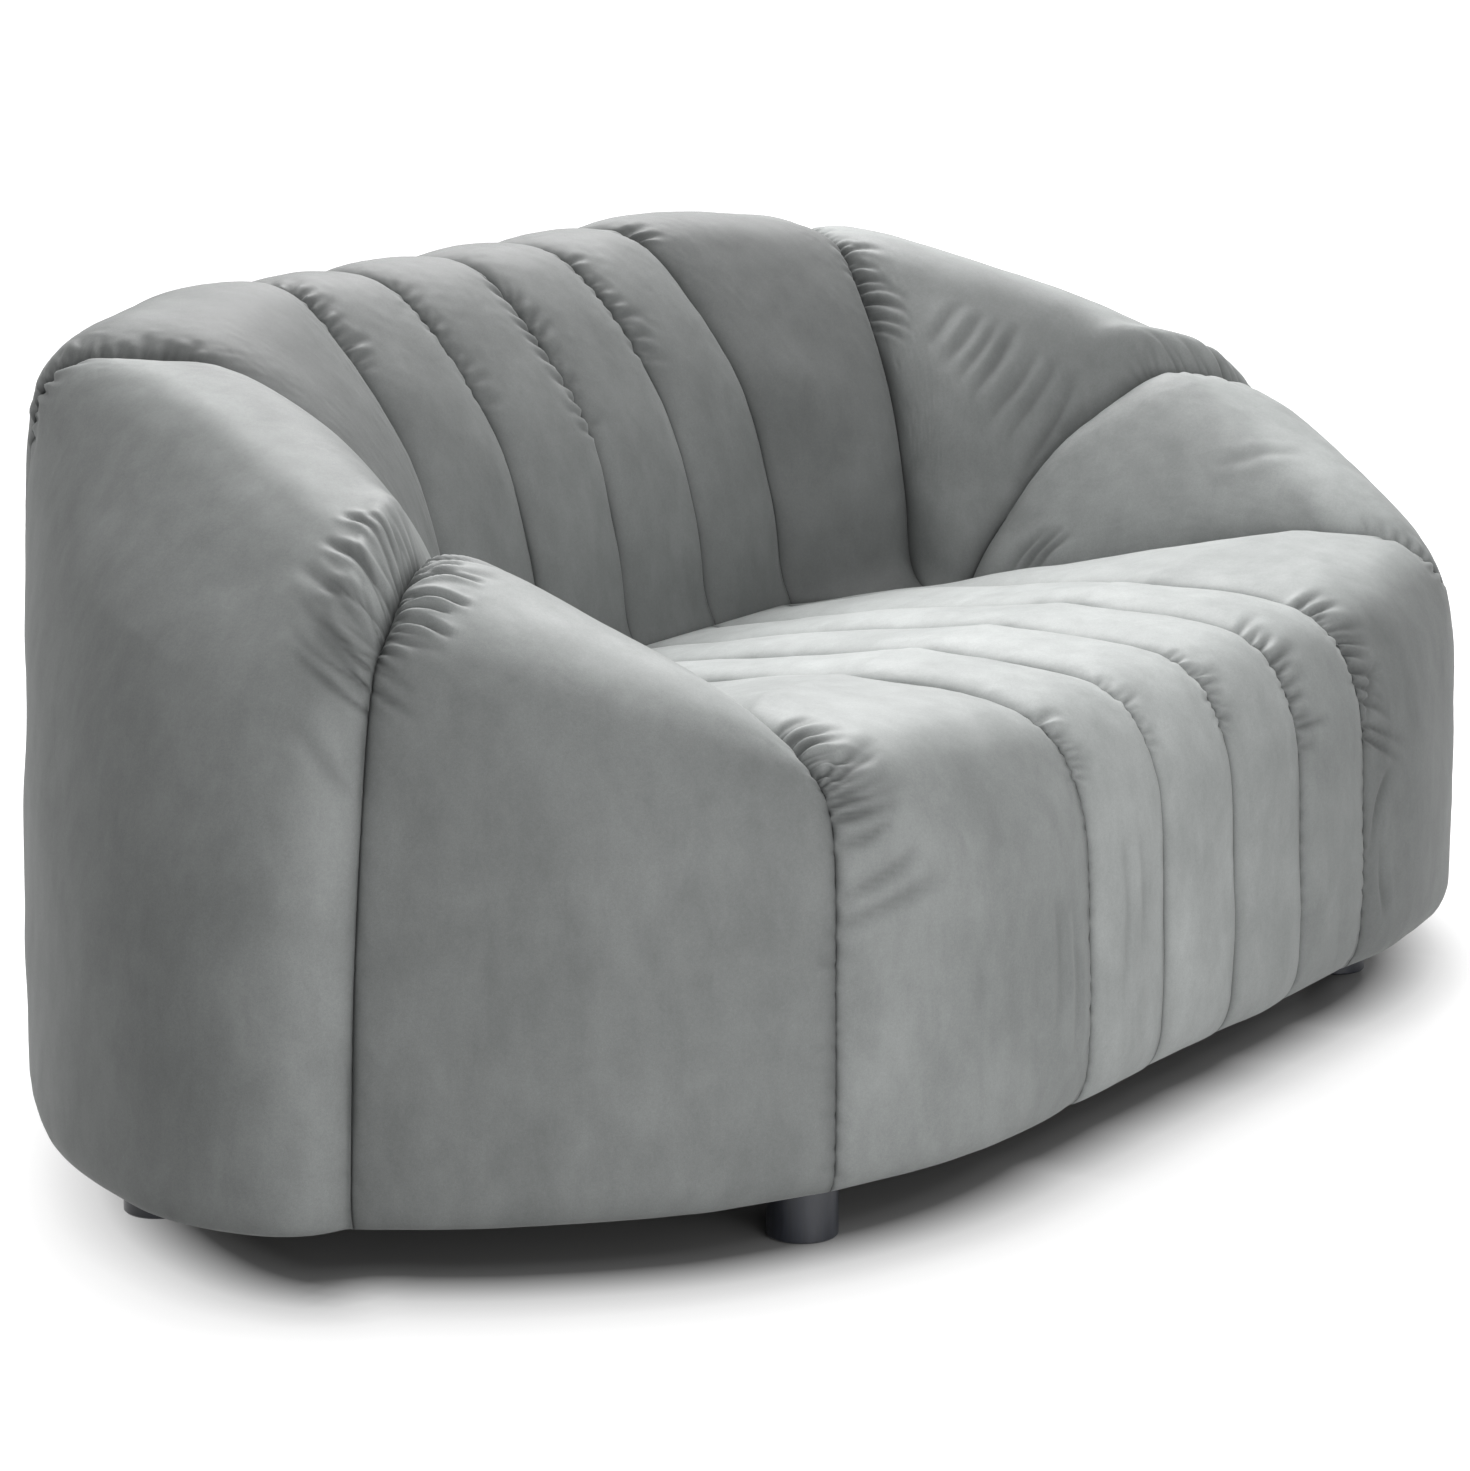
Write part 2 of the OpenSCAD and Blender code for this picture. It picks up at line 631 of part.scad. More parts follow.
// The path of a flat zigzag along +Y: straight runs along X, joined by round bends at their ends
function zigzag(length) =
    let (
        bends = round(length / spring_pitch),
        pitch = length / bends,
        run = spring_w - pitch,
        side = [for (i = [0:bends]) i % 2 == 0 ? 1 : -1]
    )
    concat(
        [[-run / 2, 0]],
        [for (i = [0:bends - 1]) for (a = [-90:180 / BEND_STEPS:90])
            [side[i] * (run + pitch * cos(a)) / 2, (i + 0.5) * pitch + sin(a) * pitch / 2]],
        [[side[bends] * run / 2, length]]);

// A wire along a flat path
module wire(path) {
    last = len(path) - 1;
    loft([for (i = [0:last])
        let (
            along = path[min(i + 1, last)] - path[max(i - 1, 0)],
            aside = turned_left(along) / norm(along)
        )
        [for (j = [0:WIRE_SIDES - 1])
            let (b = 360 * j / WIRE_SIDES)
            lift(path[i] + aside * cos(b) * wire_d / 2, sin(b) * wire_d / 2)]]);
}

seat_spring_places = [for (i = [-3.5:3.5]) i * seat_spring_step];
back_spring_places = [for (i = [-1.5:1.5]) i * back_spring_step];
clip_inset = clip_l / 2;

// The middle of the front rails' upper edge at a distance from the middle of the sofa
function front_spring_y(x) =
    let (
        a = inner_point(FRONT_KNOT, FRONT_KNOT, FRONT_CORNER_KNOT, rail_t / 2),
        b = inner_point(FRONT_CORNER_KNOT, FRONT_KNOT, FRONT_CORNER_KNOT, rail_t / 2)
    )
    abs(x) + clip_w / 2 < 2 * seat_channel_w ? front_inner_y - rail_t / 2
        : mix(a[1], b[1], (abs(x) - a[0]) / (b[0] - a[0]));
seat_spring_end = spring_rail_y - spring_rail_t + clip_inset;

module seat_springs() {
    color(steel)
        for (x = seat_spring_places)
            translate([x, front_spring_y(x), deck_h + clip_h / 2])
                wire(zigzag(seat_spring_end - front_spring_y(x)));
}

// The back springs run up from the rear edge of the spring rail to the front of the top rail
back_spring_foot = [spring_rail_y - clip_inset, deck_h + clip_h / 2];
back_spring_head = [plan_y + back_hollow[3][0] + rib_ease - clip_h / 2,
                    back_hollow[3][1] - rib_ease - top_rail_h / 2];
back_spring_rise = back_spring_head - back_spring_foot;
back_spring_tilt = atan2(back_spring_rise[1], back_spring_rise[0]);

module back_springs() {
    color(steel)
        for (x = back_spring_places)
            translate([x, back_spring_foot[0], back_spring_foot[1]])
                rotate([back_spring_tilt, 0, 0])
                    wire(zigzag(norm(back_spring_rise)));
}

// A clip that stands on Z = 0, closed round a run of wire
module spring_clip() {
    difference() {
        translate([-clip_w / 2, -clip_l / 2, 0])
            cube([clip_w, clip_l, clip_h]);
        translate([-clip_w, 0, clip_h / 2])
            rotate([0, 90, 0])
                cylinder(d = wire_d + 2 * clip_gap, h = 2 * clip_w);
    }
}

module spring_clips() {
    color(black) {
        for (x = seat_spring_places) {
            translate([x, front_spring_y(x), deck_h])
                spring_clip();
            translate([x, seat_spring_end, deck_h])
                spring_clip();
        }
        for (x = back_spring_places) {
            translate([x, back_spring_foot[0], deck_h])
                spring_clip();
            translate([x, back_spring_head[0] + clip_h / 2, back_spring_head[1]])
                rotate([90, 0, 0])
                    spring_clip();
        }
    }
}

function flipped(list) = [for (i = [len(list) - 1:-1:0]) [-list[i][0], list[i][1]]];

foam_side = [knot_point(FRONT_KNOT, -pad_gap), knot_point(FRONT_CORNER_KNOT, -pad_gap),
             seat_corner, [2 * back_channel_w, spring_rail_y - rib_ease]];

module seat_foam() {
    color(foam)
        translate([0, 0, foam_z])
            linear_extrude(height = foam_t)
                polygon(concat(foam_side, flipped(foam_side)));
}

KNOTS = [FRONT_KNOT, FRONT_CORNER_KNOT, ARM_KNOT, SIDE_KNOT, REAR_CORNER_KNOT, REAR_KNOT];
outline_side = [for (k = KNOTS) knot_point(k, -cover_inset)];

// The middle of each foot on the right side: front, side and rear
function along_rail(from, to, along, inward) =
    let (way = (knot_point(to) - knot_point(from)) / norm(knot_point(to) - knot_point(from)))
    knot_point(from) + along * way + inward * turned_left(way);
front_foot = along_rail(FRONT_CORNER_KNOT, FRONT_KNOT, front_foot_along, -front_foot_in);
side_foot = along_rail(SIDE_KNOT, REAR_CORNER_KNOT, side_foot_along, side_foot_in);
rear_foot = along_rail(REAR_CORNER_KNOT, REAR_KNOT, rear_foot_along, rear_foot_in);

// Draws its children at each of the six feet
module at_feet() {
    for (p = [front_foot, side_foot, rear_foot])
        for (side = [-1, 1])
            translate([side * p[0], p[1], 0])
                children();
}

module dust_cover() {
    color(black)
        difference() {
            translate([0, 0, base_h])
                linear_extrude(height = cover_t)
                    polygon(concat(outline_side, flipped(outline_side)));
            at_feet()
                translate([0, 0, base_h - cover_t])
                    cylinder(d = bolt_d + 2 * bolt_gap, h = 3 * cover_t);
        }
}

module foot(p) {
    bore_d = bolt_d + 2 * bolt_gap;
    color(black)
        translate([p[0], p[1], 0])
            difference() {
                rotate_extrude()
                    polygon([[0, glide_out], [foot_d / 2 - foot_chamfer, glide_out],
                             [foot_d / 2, glide_out + foot_chamfer],
                             [foot_d / 2, base_h - foot_chamfer],
                             [foot_d / 2 - foot_chamfer, base_h], [0, base_h]]);
                cylinder(d = glide_d, h = glide_out + glide_in);
                translate([0, 0, base_h - bolt_in_foot - bolt_gap])
                    cylinder(d = bore_d, h = bolt_in_foot + 2 * bolt_gap);
            }
}

module foot_bolts() {
    color(steel)
        at_feet()
            translate([0, 0, base_h - bolt_in_foot])
                cylinder(d = bolt_d, h = bolt_in_foot + cover_t + bolt_in_block);
}

module foot_glides() {
    color(black)
        at_feet()
            cylinder(d = glide_d, h = glide_out + glide_in);
}

// The space inside the rails, less the ribs
module inside_of_frame() {
    rails = [[FRONT_KNOT, FRONT_CORNER_KNOT], [FRONT_CORNER_KNOT, ARM_KNOT], [ARM_KNOT, SIDE_KNOT],
             [SIDE_KNOT, REAR_CORNER_KNOT], [REAR_CORNER_KNOT, REAR_KNOT]];
    side = [for (r = rails) each [inner_point(r[0], r[0], r[1], rail_t),
                                  inner_point(r[1], r[0], r[1], rail_t)]];
    difference() {
        linear_extrude(height = deck_h)
            polygon(concat(side, flipped(side)));
        for (s = [ARM, REAR_CORNER, back_seam(2)])
            for (left = [0, 1])
                mirror([left, 0, 0])
                    in_plane_of(s, rib_t)
                        square([2 * reach_of(line_of(s)), 2 * deck_h]);
    }
}

module foot_blocks() {
    color(timber)
        difference() {
            intersection() {
                at_feet()
                    translate([-block_w / 2, -block_w / 2, frame_z])
                        cube([block_w, block_w, block_t]);
                inside_of_frame();
            }
            at_feet()
                cylinder(d = bolt_d + 2 * bolt_gap, h = deck_h);
            cross_rails();
        }
}

module left_side() {
    mirror([1, 0, 0])
        children();
}

left_side() seat_end_pad();  // seat_end_pad_left
seat_channel_pad(-2);  // seat_channel_pad_1
seat_channel_pad(-1);  // seat_channel_pad_2
seat_channel_pad(0);  // seat_channel_pad_3
seat_channel_pad(1);  // seat_channel_pad_4
seat_end_pad();  // seat_end_pad_right
left_side() back_end_pad();  // back_end_pad_left
back_channel_pad(-2);  // back_channel_pad_1
back_channel_pad(-1);  // back_channel_pad_2
back_channel_pad(0);  // back_channel_pad_3
back_channel_pad(1);  // back_channel_pad_4
back_end_pad();  // back_end_pad_right
left_side() arm_front_pad();  // arm_front_pad_left
left_side() arm_rear_pad();  // arm_rear_pad_left
arm_front_pad();  // arm_front_pad_right
arm_rear_pad();  // arm_rear_pad_right
front_rail();
rear_rail();
left_side() rail(FRONT_KNOT, FRONT_CORNER_KNOT);  // front_corner_rail_left
rail(FRONT_KNOT, FRONT_CORNER_KNOT);  // front_corner_rail_right
left_side() rail(FRONT_CORNER_KNOT, ARM_KNOT);  // arm_front_rail_left
rail(FRONT_CORNER_KNOT, ARM_KNOT);  // arm_front_rail_right
left_side() rail(ARM_KNOT, SIDE_KNOT);  // arm_side_rail_left
rail(ARM_KNOT, SIDE_KNOT);  // arm_side_rail_right
left_side() rail(SIDE_KNOT, REAR_CORNER_KNOT);  // arm_rear_rail_left
rail(SIDE_KNOT, REAR_CORNER_KNOT);  // arm_rear_rail_right
left_side() rail(REAR_CORNER_KNOT, REAR_KNOT);  // rear_corner_rail_left
rail(REAR_CORNER_KNOT, REAR_KNOT);  // rear_corner_rail_right
left_side() back_rib();  // back_rib_left
back_rib();  // back_rib_right
left_side() corner_rib();  // corner_rib_left
corner_rib();  // corner_rib_right
left_side() arm_rib();  // arm_rib_left
arm_rib();  // arm_rib_right
back_top_rail();
left_side() corner_top_rail();  // corner_top_rail_left
corner_top_rail();  // corner_top_rail_right
left_side() arm_top_rail();  // arm_top_rail_left
arm_top_rail();  // arm_top_rail_right
left_side() arm_brace();  // arm_brace_left
arm_brace();  // arm_brace_right
spring_rail();
cross_rails();
seat_springs();
back_springs();
spring_clips();
seat_foam();
dust_cover();
left_side() foot(front_foot);  // foot_front_left
foot(front_foot);  // foot_front_right
left_side() foot(side_foot);  // foot_side_left
foot(side_foot);  // foot_side_right
left_side() foot(rear_foot);  // foot_rear_left
foot(rear_foot);  // foot_rear_right
foot_blocks();
foot_bolts();
foot_glides();
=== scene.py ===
"""Looks of the two-seater sofa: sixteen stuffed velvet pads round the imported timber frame."""

import math

import bpy
import numpy as np
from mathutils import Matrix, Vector
from mathutils.geometry import delaunay_2d_cdt


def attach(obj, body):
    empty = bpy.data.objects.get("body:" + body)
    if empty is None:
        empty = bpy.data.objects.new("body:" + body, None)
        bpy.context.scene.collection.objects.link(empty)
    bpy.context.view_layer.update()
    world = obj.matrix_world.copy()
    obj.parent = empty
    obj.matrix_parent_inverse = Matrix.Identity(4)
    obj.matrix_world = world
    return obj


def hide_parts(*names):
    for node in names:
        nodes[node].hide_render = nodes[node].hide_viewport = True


scene = bpy.context.scene

# Camera
camera_data = bpy.data.cameras.new("camera")
camera_data.sensor_fit = "HORIZONTAL"
camera_data.sensor_width = 36.0
camera_data.lens = 117.435
camera_data.clip_start = 0.05
camera_data.clip_end = 200.0
camera = bpy.data.objects.new("camera", camera_data)
camera.location = (-4.012, -2.5625, 1.358)
camera.rotation_euler = (math.radians(90 - 12.4055), 0.0, math.radians(-57.1629))
scene.collection.objects.link(camera)
scene.camera = camera

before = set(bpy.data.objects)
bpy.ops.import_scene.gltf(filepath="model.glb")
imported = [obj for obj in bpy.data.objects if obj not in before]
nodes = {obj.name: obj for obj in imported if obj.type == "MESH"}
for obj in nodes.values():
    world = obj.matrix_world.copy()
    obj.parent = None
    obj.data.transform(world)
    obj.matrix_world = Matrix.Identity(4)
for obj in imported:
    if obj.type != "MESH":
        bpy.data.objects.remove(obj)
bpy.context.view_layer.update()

# Sizes, in mm and degrees, as in part.scad
CORNER_X, PLAN_Y = 405.0, 28.5
FRONT_ANGLE, ARM_ANGLE, REAR_ANGLE = -66.5, -22.5, 54.0
SEAT_W, BACK_W = 143.0, 150.0
BASE_H, DECK_H, WRAP_T, FOAM_T = 76.5, 268.0, 60.0, 70.0
COVER_T, COVER_LOW, COVER_INSET = 1.5, 0.4, 8.0
COVER_SAG, COVER_GRID = 5.0, 30
PAD_GAP, SEAM_GAP = 0.3, 0.3
CLIP_H = 7.0
FOAM_Z = DECK_H + CLIP_H + PAD_GAP
PAD_FLOOR = FOAM_Z + FOAM_T + PAD_GAP
CAP_T, CORE_W, BACK_PAD_T, CORNER_PAD_T = 88.0, 90.0, 105.0, 92.0
FACE_CROWN = 4.0
SIDE_SKEW, SIDE_SWELL = 0.58, 165.0
# A seam line's points between its start and its crest: how far out where the form is flat and where
# it is full, and how high; then the steps of the parameter u between all its points
FLAT_OUT = (0.07, 0.27, 0.58, 0.90)
FULL_OUT = (0.02, 0.074, 0.253, 0.669)
RISE_AT = (0.09, 0.318, 0.636, 0.952)
STEPS = np.array([1, 1, 2, 3, 3, 3, 3, 2, 1, 2, 2, 1])
KEY_U = np.concatenate([[0], np.cumsum(STEPS)]) / STEPS.sum()

# A seam line's start and its height, crest and its height, reach, edge drop, fullness, lean, lower
# radius, toe and roundness. The parameter u runs along it from 0 at the crease of the seat, over
# the crest at about 0.4 and the upper edge at about 0.6, to 1 under the rail.
SEAT_LINE = (-120, 385, 336, 455, 574, 90, 0, 0, 26, 0, 0)
BACK_LINE = (120.3, 385, 380, 770, 517, 110, 1, 0, 26, 0, 1)
REAR_LINE = (8, 385, 333, 745, 443, 92, 0.9, 0, 14, 40, -0.3)
ARM_LINE = (8, 385, 335, 614, 532, 120, 0.55, 54, 14, 0, 1.3)
FRONT_LINE = (8, 385, 430, 476, 560, 75, 0, 0, 14, 0, 0.6)

# Forms of the stuffed cover that the plain solids don't have, in mm
SEAM_FILL = 50.0
NOSE, NOSE_AT, NOSE_REACH = 13.0, 42.0, 30.0
REAR_BELLY, FRONT_BELLY = 12.0, 22.0
ROLL, ROLL_REACH = 26.0, 48.0
GROOVE_REACH = 6.0
STITCH_HOLD = 5.0
# How far in mm the painted shade reaches from a seam
SEAM_SHADE_REACH = 5.0

# Pleats and creases: width in mm, share left at the stitches, and the height of the ridge beside
# a valley as a share of its depth
PLEAT_WIDTH = 2.8
SEAM_SHARE = 0.45
PLEAT_RIDGE, CREASE_RIDGE = 0.36, 0.45
# Painted shade in the folds: the depth in mm at which a fold's bottom is painted darkest, and the
# width above which the painted shade pales
FOLD_SHADE_DEPTH, FOLD_SHADE_WIDTH = 5.0, 6.0

# The cloth simulation: grid in mm, frames, spare length, the folds' cap and their reach from the
# seams in mm, and how firmly the stuffing holds the cover
CLOTH_SPACING = 9.0
CLOTH_FRAMES = 20
CLOTH_SLACK = 0.055
CLOTH_CAP = 9.0
FOLD_REACH = 75.0
STUFFING_HOLD = 0.1
BROAD_PASSES = 40
CLOTH_SETTINGS = {
    "quality": 5, "mass": 0.3, "tension_stiffness": 15.0, "compression_stiffness": 15.0,
    "shear_stiffness": 5.0, "bending_stiffness": 2.0, "air_damping": 2.0,
    "vertex_group_mass": "hold", "vertex_group_shrink": "slack", "shrink_min": 0.0,
    "shrink_max": -CLOTH_SLACK, "use_pressure": True, "uniform_pressure_force": 2.0}


def mix(a, b, t):
    return a + (b - a) * t


def ramp(a, b, t):
    u = np.clip((np.asarray(t, float) - a) / (b - a), 0, 1)
    return u * u * (3 - 2 * u)


def window(a, b, c, d, t):
    """Rises smoothly from 0 to 1 over a to b, and falls back over c to d."""
    return ramp(a, b, t) * (1 - ramp(c, d, t))


def seam_keys(l):
    """The points, as (distance out, height), that a seam line passes through."""
    start, start_h, crest, crest_h, reach, drop, full, lean, tuck, toe, rnd = l
    from_out, rise = start + toe, crest_h - start_h
    over, edge_h = reach - crest, crest_h - drop
    keys = [(start, start_h)]
    keys += [(mix(from_out, crest, mix(FLAT_OUT[i], FULL_OUT[i], full)),
              start_h + rise * RISE_AT[i]) for i in range(4)]
    keys += [(crest, crest_h),
             (crest + over * mix(0.7, 0.6, rnd), crest_h - drop * mix(0.13, 0.3, rnd)),
             (reach - lean - over * 0.05, edge_h),
             (reach - lean * 0.4, (BASE_H + edge_h) / 2),
             (reach, BASE_H + 2 * tuck),
             (reach - tuck * 0.3, BASE_H + tuck),
             (reach - tuck, BASE_H),
             (reach - WRAP_T, BASE_H)]
    return np.array(keys, float)


def line_at(l, u):
    """The seam line's points (distance out, height) at the parameters u, from 0 to 1."""
    k = seam_keys(l)
    i = np.clip(np.searchsorted(KEY_U, u, "right") - 1, 0, len(STEPS) - 1)
    t = ((u - KEY_U[i]) / (KEY_U[i + 1] - KEY_U[i]))[:, None]
    p0, p1 = k[np.maximum(i - 1, 0)], k[i]
    p2, p3 = k[i + 1], k[np.minimum(i + 2, len(k) - 1)]
    p = (2 * p1 + (p2 - p0) * t + (2 * p0 - 5 * p1 + 4 * p2 - p3) * t * t
         + (3 * p1 - p0 - 3 * p2 + p3) * t ** 3) / 2
    # The lower edge is an even arc, and then the cover runs flat below the rail
    reach, tuck = l[4], l[8]
    turn = np.pi / 2 * np.clip((u - KEY_U[9]) / (KEY_U[11] - KEY_U[9]), 0, 1)
    under = np.clip((u - KEY_U[11]) / (1 - KEY_U[11]), 0, 1)
    edge = np.column_stack([reach - tuck * (1 - np.cos(turn)) - (WRAP_T - tuck) * under,
                            BASE_H + 2 * tuck * (1 - np.sin(turn))])
    return np.where((u >= KEY_U[9])[:, None], edge, p)


def heading(angle):
    """The plan direction at an angle in degrees from +X."""
    return np.array([np.cos(np.radians(angle)), np.sin(np.radians(angle))])


class Seam:
    """An upright plane through a point in plan, and the seam line that lies in it."""

    def __init__(self, origin, angle, line):
        self.origin, self.angle, self.line = np.array(origin, float), angle, line

    def point(self, p, off):
        """3-D points of (out, height) pairs, set off to the left of the seam's plane."""
        way = heading(self.angle)
        left = np.array([-way[1], way[0]])
        p = np.atleast_2d(p)
        flat = self.origin + p[:, :1] * way + off * left
        return np.column_stack([flat, p[:, 1]])


CORNER = np.array([CORNER_X, PLAN_Y])
FRONT_SEAM = Seam(CORNER, FRONT_ANGLE, FRONT_LINE)
ARM_SEAM = Seam(CORNER, ARM_ANGLE, ARM_LINE)
REAR_SEAM = Seam(CORNER, REAR_ANGLE, REAR_LINE)


def seat_seam(i):
    return Seam((i * SEAT_W, PLAN_Y), -90, SEAT_LINE)


def back_seam(i):
    return Seam((i * BACK_W, PLAN_Y), 90, BACK_LINE)


def seat_hollow(l):
    """A seat pad's inner side along a seam: down the front rail, and flat on the foam."""
    return np.array([(l[4] - WRAP_T, BASE_H), (l[4] - WRAP_T, PAD_FLOOR), (l[0], PAD_FLOOR)], float)


def upright_hollow(l, pad_t):
    """A back or arm pad's inner side: over the frame's upper edge, and down to the foam."""
    return np.array([(l[4] - WRAP_T, BASE_H), (l[4] - WRAP_T, DECK_H),
                     (min(l[2] + CORE_W / 2, l[4] - WRAP_T - l[7]), l[3] - CAP_T),
                     (l[2] - CORE_W / 2, l[3] - CAP_T), (l[0] + pad_t, PAD_FLOOR),
                     (l[0], PAD_FLOOR)], float)


FRONT_HOLLOW = upright_hollow(FRONT_LINE, CORNER_PAD_T)
ARM_HOLLOW = upright_hollow(ARM_LINE, CORNER_PAD_T)
REAR_HOLLOW = upright_hollow(REAR_LINE, CORNER_PAD_T)
BACK_HOLLOW = upright_hollow(BACK_LINE, BACK_PAD_T)


def plan_at(s, out):
    return s.origin + out * heading(s.angle)


side_bulge = SIDE_SWELL * math.sin(math.pi * 0.5 ** SIDE_SKEW) - WRAP_T
side_out = ((plan_at(ARM_SEAM, ARM_LINE[4]) + plan_at(REAR_SEAM, REAR_LINE[4])) / 2
            + side_bulge * heading((REAR_ANGLE + ARM_ANGLE) / 2) - CORNER)
SIDE_KNOT = CORNER + side_out


class Pad:
    """The visible face of a pad between two seams as a grid: rows along them, columns across."""

    def __init__(self, name, a, b, cols, crown, inner_crown, swell, hollow_a, hollow_b,
                 mid=None, skew=1.0, left=False):
        self.name, self.a, self.b, self.left = name, a, b, left
        self.hollows = (hollow_a, hollow_b, mid)
        self.u = self.rows(a, b)
        s = np.arange(cols + 1) / cols
        # Columns lie closer together beside the seams
        self.t = mix(s, (1 - np.cos(np.pi * s)) / 2, 0.45)
        u, t = self.u, self.t
        # The way along each seam line, from just before a point to just after it
        before, after = np.maximum(u - 0.012, 0), np.minimum(u + 0.012, 1)
        da = line_at(a.line, after) - line_at(a.line, before)
        db = line_at(b.line, after) - line_at(b.line, before)
        pa = a.point(line_at(a.line, u), SEAM_GAP / 2)
        pb = b.point(line_at(b.line, u), -SEAM_GAP / 2)
        tt = t[None, :, None]
        along = mix(da[:, None, :], db[:, None, :], tt)
        along /= np.linalg.norm(along, axis=2, keepdims=True)
        normal = np.stack([-along[..., 1], along[..., 0]], axis=2)
        way = heading(mix(a.angle, b.angle, t)).T[None]
        # The stuffing's crown across the pad, flat on the face and gone at the pad's ends
        rise_u = mix(inner_crown, crown, ramp(0.22, 0.42, u))
        rise_u = mix(rise_u, FACE_CROWN, ramp(0.46, 0.68, u)) * window(0, 0.15, 0.78, 0.95, u)
        rise = rise_u[:, None] * (1 - np.abs(2 * t - 1) ** 2.4)[None, :].clip(0) ** 0.6
        # Beside the arm seam the stuffed cover is fuller than the plain solid
        swell_t = swell * np.sin(np.pi * t ** skew)
        if a is ARM_SEAM:
            swell_t = (swell_t ** 4 + (SEAM_FILL * (1 - ramp(0, 0.5, t))) ** 4) ** 0.25
        elif b is ARM_SEAM:
            swell_t = swell_t + SEAM_FILL * t * t
        out = ramp(0.5, 0.76, u)[:, None] * swell_t[None, :]
        push = normal[..., 0] * rise + out
        p = mix(pa[:, None, :], pb[:, None, :], tt)
        p = p + np.concatenate([push[..., None] * way, (normal[..., 1] * rise)[..., None]], axis=2)
        p[..., 2] = np.maximum(p[..., 2], BASE_H)
        self.p = p
        self.fold_shade = np.zeros(p.shape[:2])
        # The way in which stuffing pushes the cover: square to the seam lines
        self.n = np.concatenate([normal[..., :1] * way, normal[..., 1:]], axis=2)
        # Distances along the seams and across from each of them, in mm
        d_along = np.linalg.norm(np.diff(p, axis=0), axis=2)
        self.along = np.vstack([np.zeros((1, len(t))), np.cumsum(d_along, axis=0)])
        d_across = np.linalg.norm(np.diff(p, axis=1), axis=2)
        self.from_a = np.hstack([np.zeros((len(u), 1)), np.cumsum(d_across, axis=1)])
        self.from_b = self.from_a[:, -1:] - self.from_a

    @staticmethod
    def rows(a, b):
        """Row parameters about 6 mm apart, and 2.6 mm apart where the folds are."""
        fine = np.linspace(0, 1, 4001)
        mean = (line_at(a.line, fine) + line_at(b.line, fine)) / 2
        length = np.linalg.norm(np.diff(mean, axis=0), axis=1)
        middle = (fine[1:] + fine[:-1]) / 2
        spacing = 6.0 - 3.4 * window(0.1, 0.3, 0.6, 0.72, middle)
        count = np.concatenate([[0], np.cumsum(length / spacing)])
        n = int(round(count[-1]))
        return np.interp(np.arange(n + 1) * count[-1] / n, count, fine)

    def push(self, amount, at_seam=0.0):
        """Moves the cover in or out by millimetres; crease and lower edge stay, and the seams too
        but for the given share."""
        hold = (mix(at_seam, 1, ramp(0, STITCH_HOLD, self.from_a))
                * mix(at_seam, 1, ramp(0, STITCH_HOLD, self.from_b))
                * window(0, 0.04, 0.9, 0.97, self.u)[:, None])
        self.p = self.p + self.n * (amount * hold)[..., None]

    def draw_in(self, depth_a, depth_b, shoulder):
        """Pulls the cover in towards its seams: half a tight groove, half a round shoulder."""
        hold = window(0, 0.05, 0.95, 1, self.u) * (1 - 0.75 * ramp(0.5, 0.68, self.u))
        pull = sum(depth * (0.5 * np.exp(-away / GROOVE_REACH)
                            + 0.5 * np.exp(-(away / shoulder) ** 1.3))
                   for depth, away in ((depth_a, self.from_a), (depth_b, self.from_b)))
        # Towards the lower edge the pull is level, so that the edge stays at its height
        way = self.n.copy()
        way[..., 2] *= (1 - ramp(0.7, 0.8, self.u))[:, None]
        self.p = self.p - way * (pull * hold[:, None])[..., None]

    def plump_arm(self):
        """The rear arm pad stands proud beside the arm seam, and on the inside it rolls in behind
        the fuller front arm pad."""
        t = self.t[None, :]
        belly = window(0.10, 0.20, 0.20, 0.42, self.u)[:, None]
        if self.a is ARM_SEAM:
            crest = window(0.24, 0.38, 0.50, 0.64, self.u)[:, None]
            nose = NOSE * np.exp(-((self.from_a - NOSE_AT) / NOSE_REACH) ** 2) * crest
            rolled = window(0.09, 0.16, 0.26, 0.40, self.u)[:, None]
            roll = ROLL * np.exp(-(self.from_a / ROLL_REACH) ** 1.5) * rolled
            self.push(nose + REAR_BELLY * np.sin(np.pi * t ** 1.2) * belly - roll)
        else:
            self.push(FRONT_BELLY * t ** 2 * (1 - t ** 10) * belly)

    def gathers(self, seam, u0, u1, count, length, depth, lean=0, bow=0, seed=0):
        """Pleats that run into the pad from seam "a" or "b", spread between u0 and u1."""
        rng = np.random.default_rng(seed)
        x = self.from_a if seam == "a" else self.from_b
        arc = self.along[:, 0 if seam == "a" else -1]
        y = self.along * (arc[-1] / self.along[-1:])
        y0, y1 = np.interp([u0, u1], self.u, arc)
        step = (y1 - y0) / count
        total = np.zeros_like(x)
        for k in range(count):
            reach = 1.4 * length * rng.uniform(0.45, 1.3)
            start = y0 + (k + 0.5 + rng.uniform(-0.28, 0.28)) * step
            # Pleats fan out from the middle of their group
            fan = ((k + 0.5) / count - 0.5) * 2
            f = np.clip(x / reach, 0, 1)
            centre = start + (lean + fan * 0.22 * length) * f + bow * f * f
            w = PLEAT_WIDTH * rng.uniform(0.8, 1.25) * (1 + 1.5 * f)
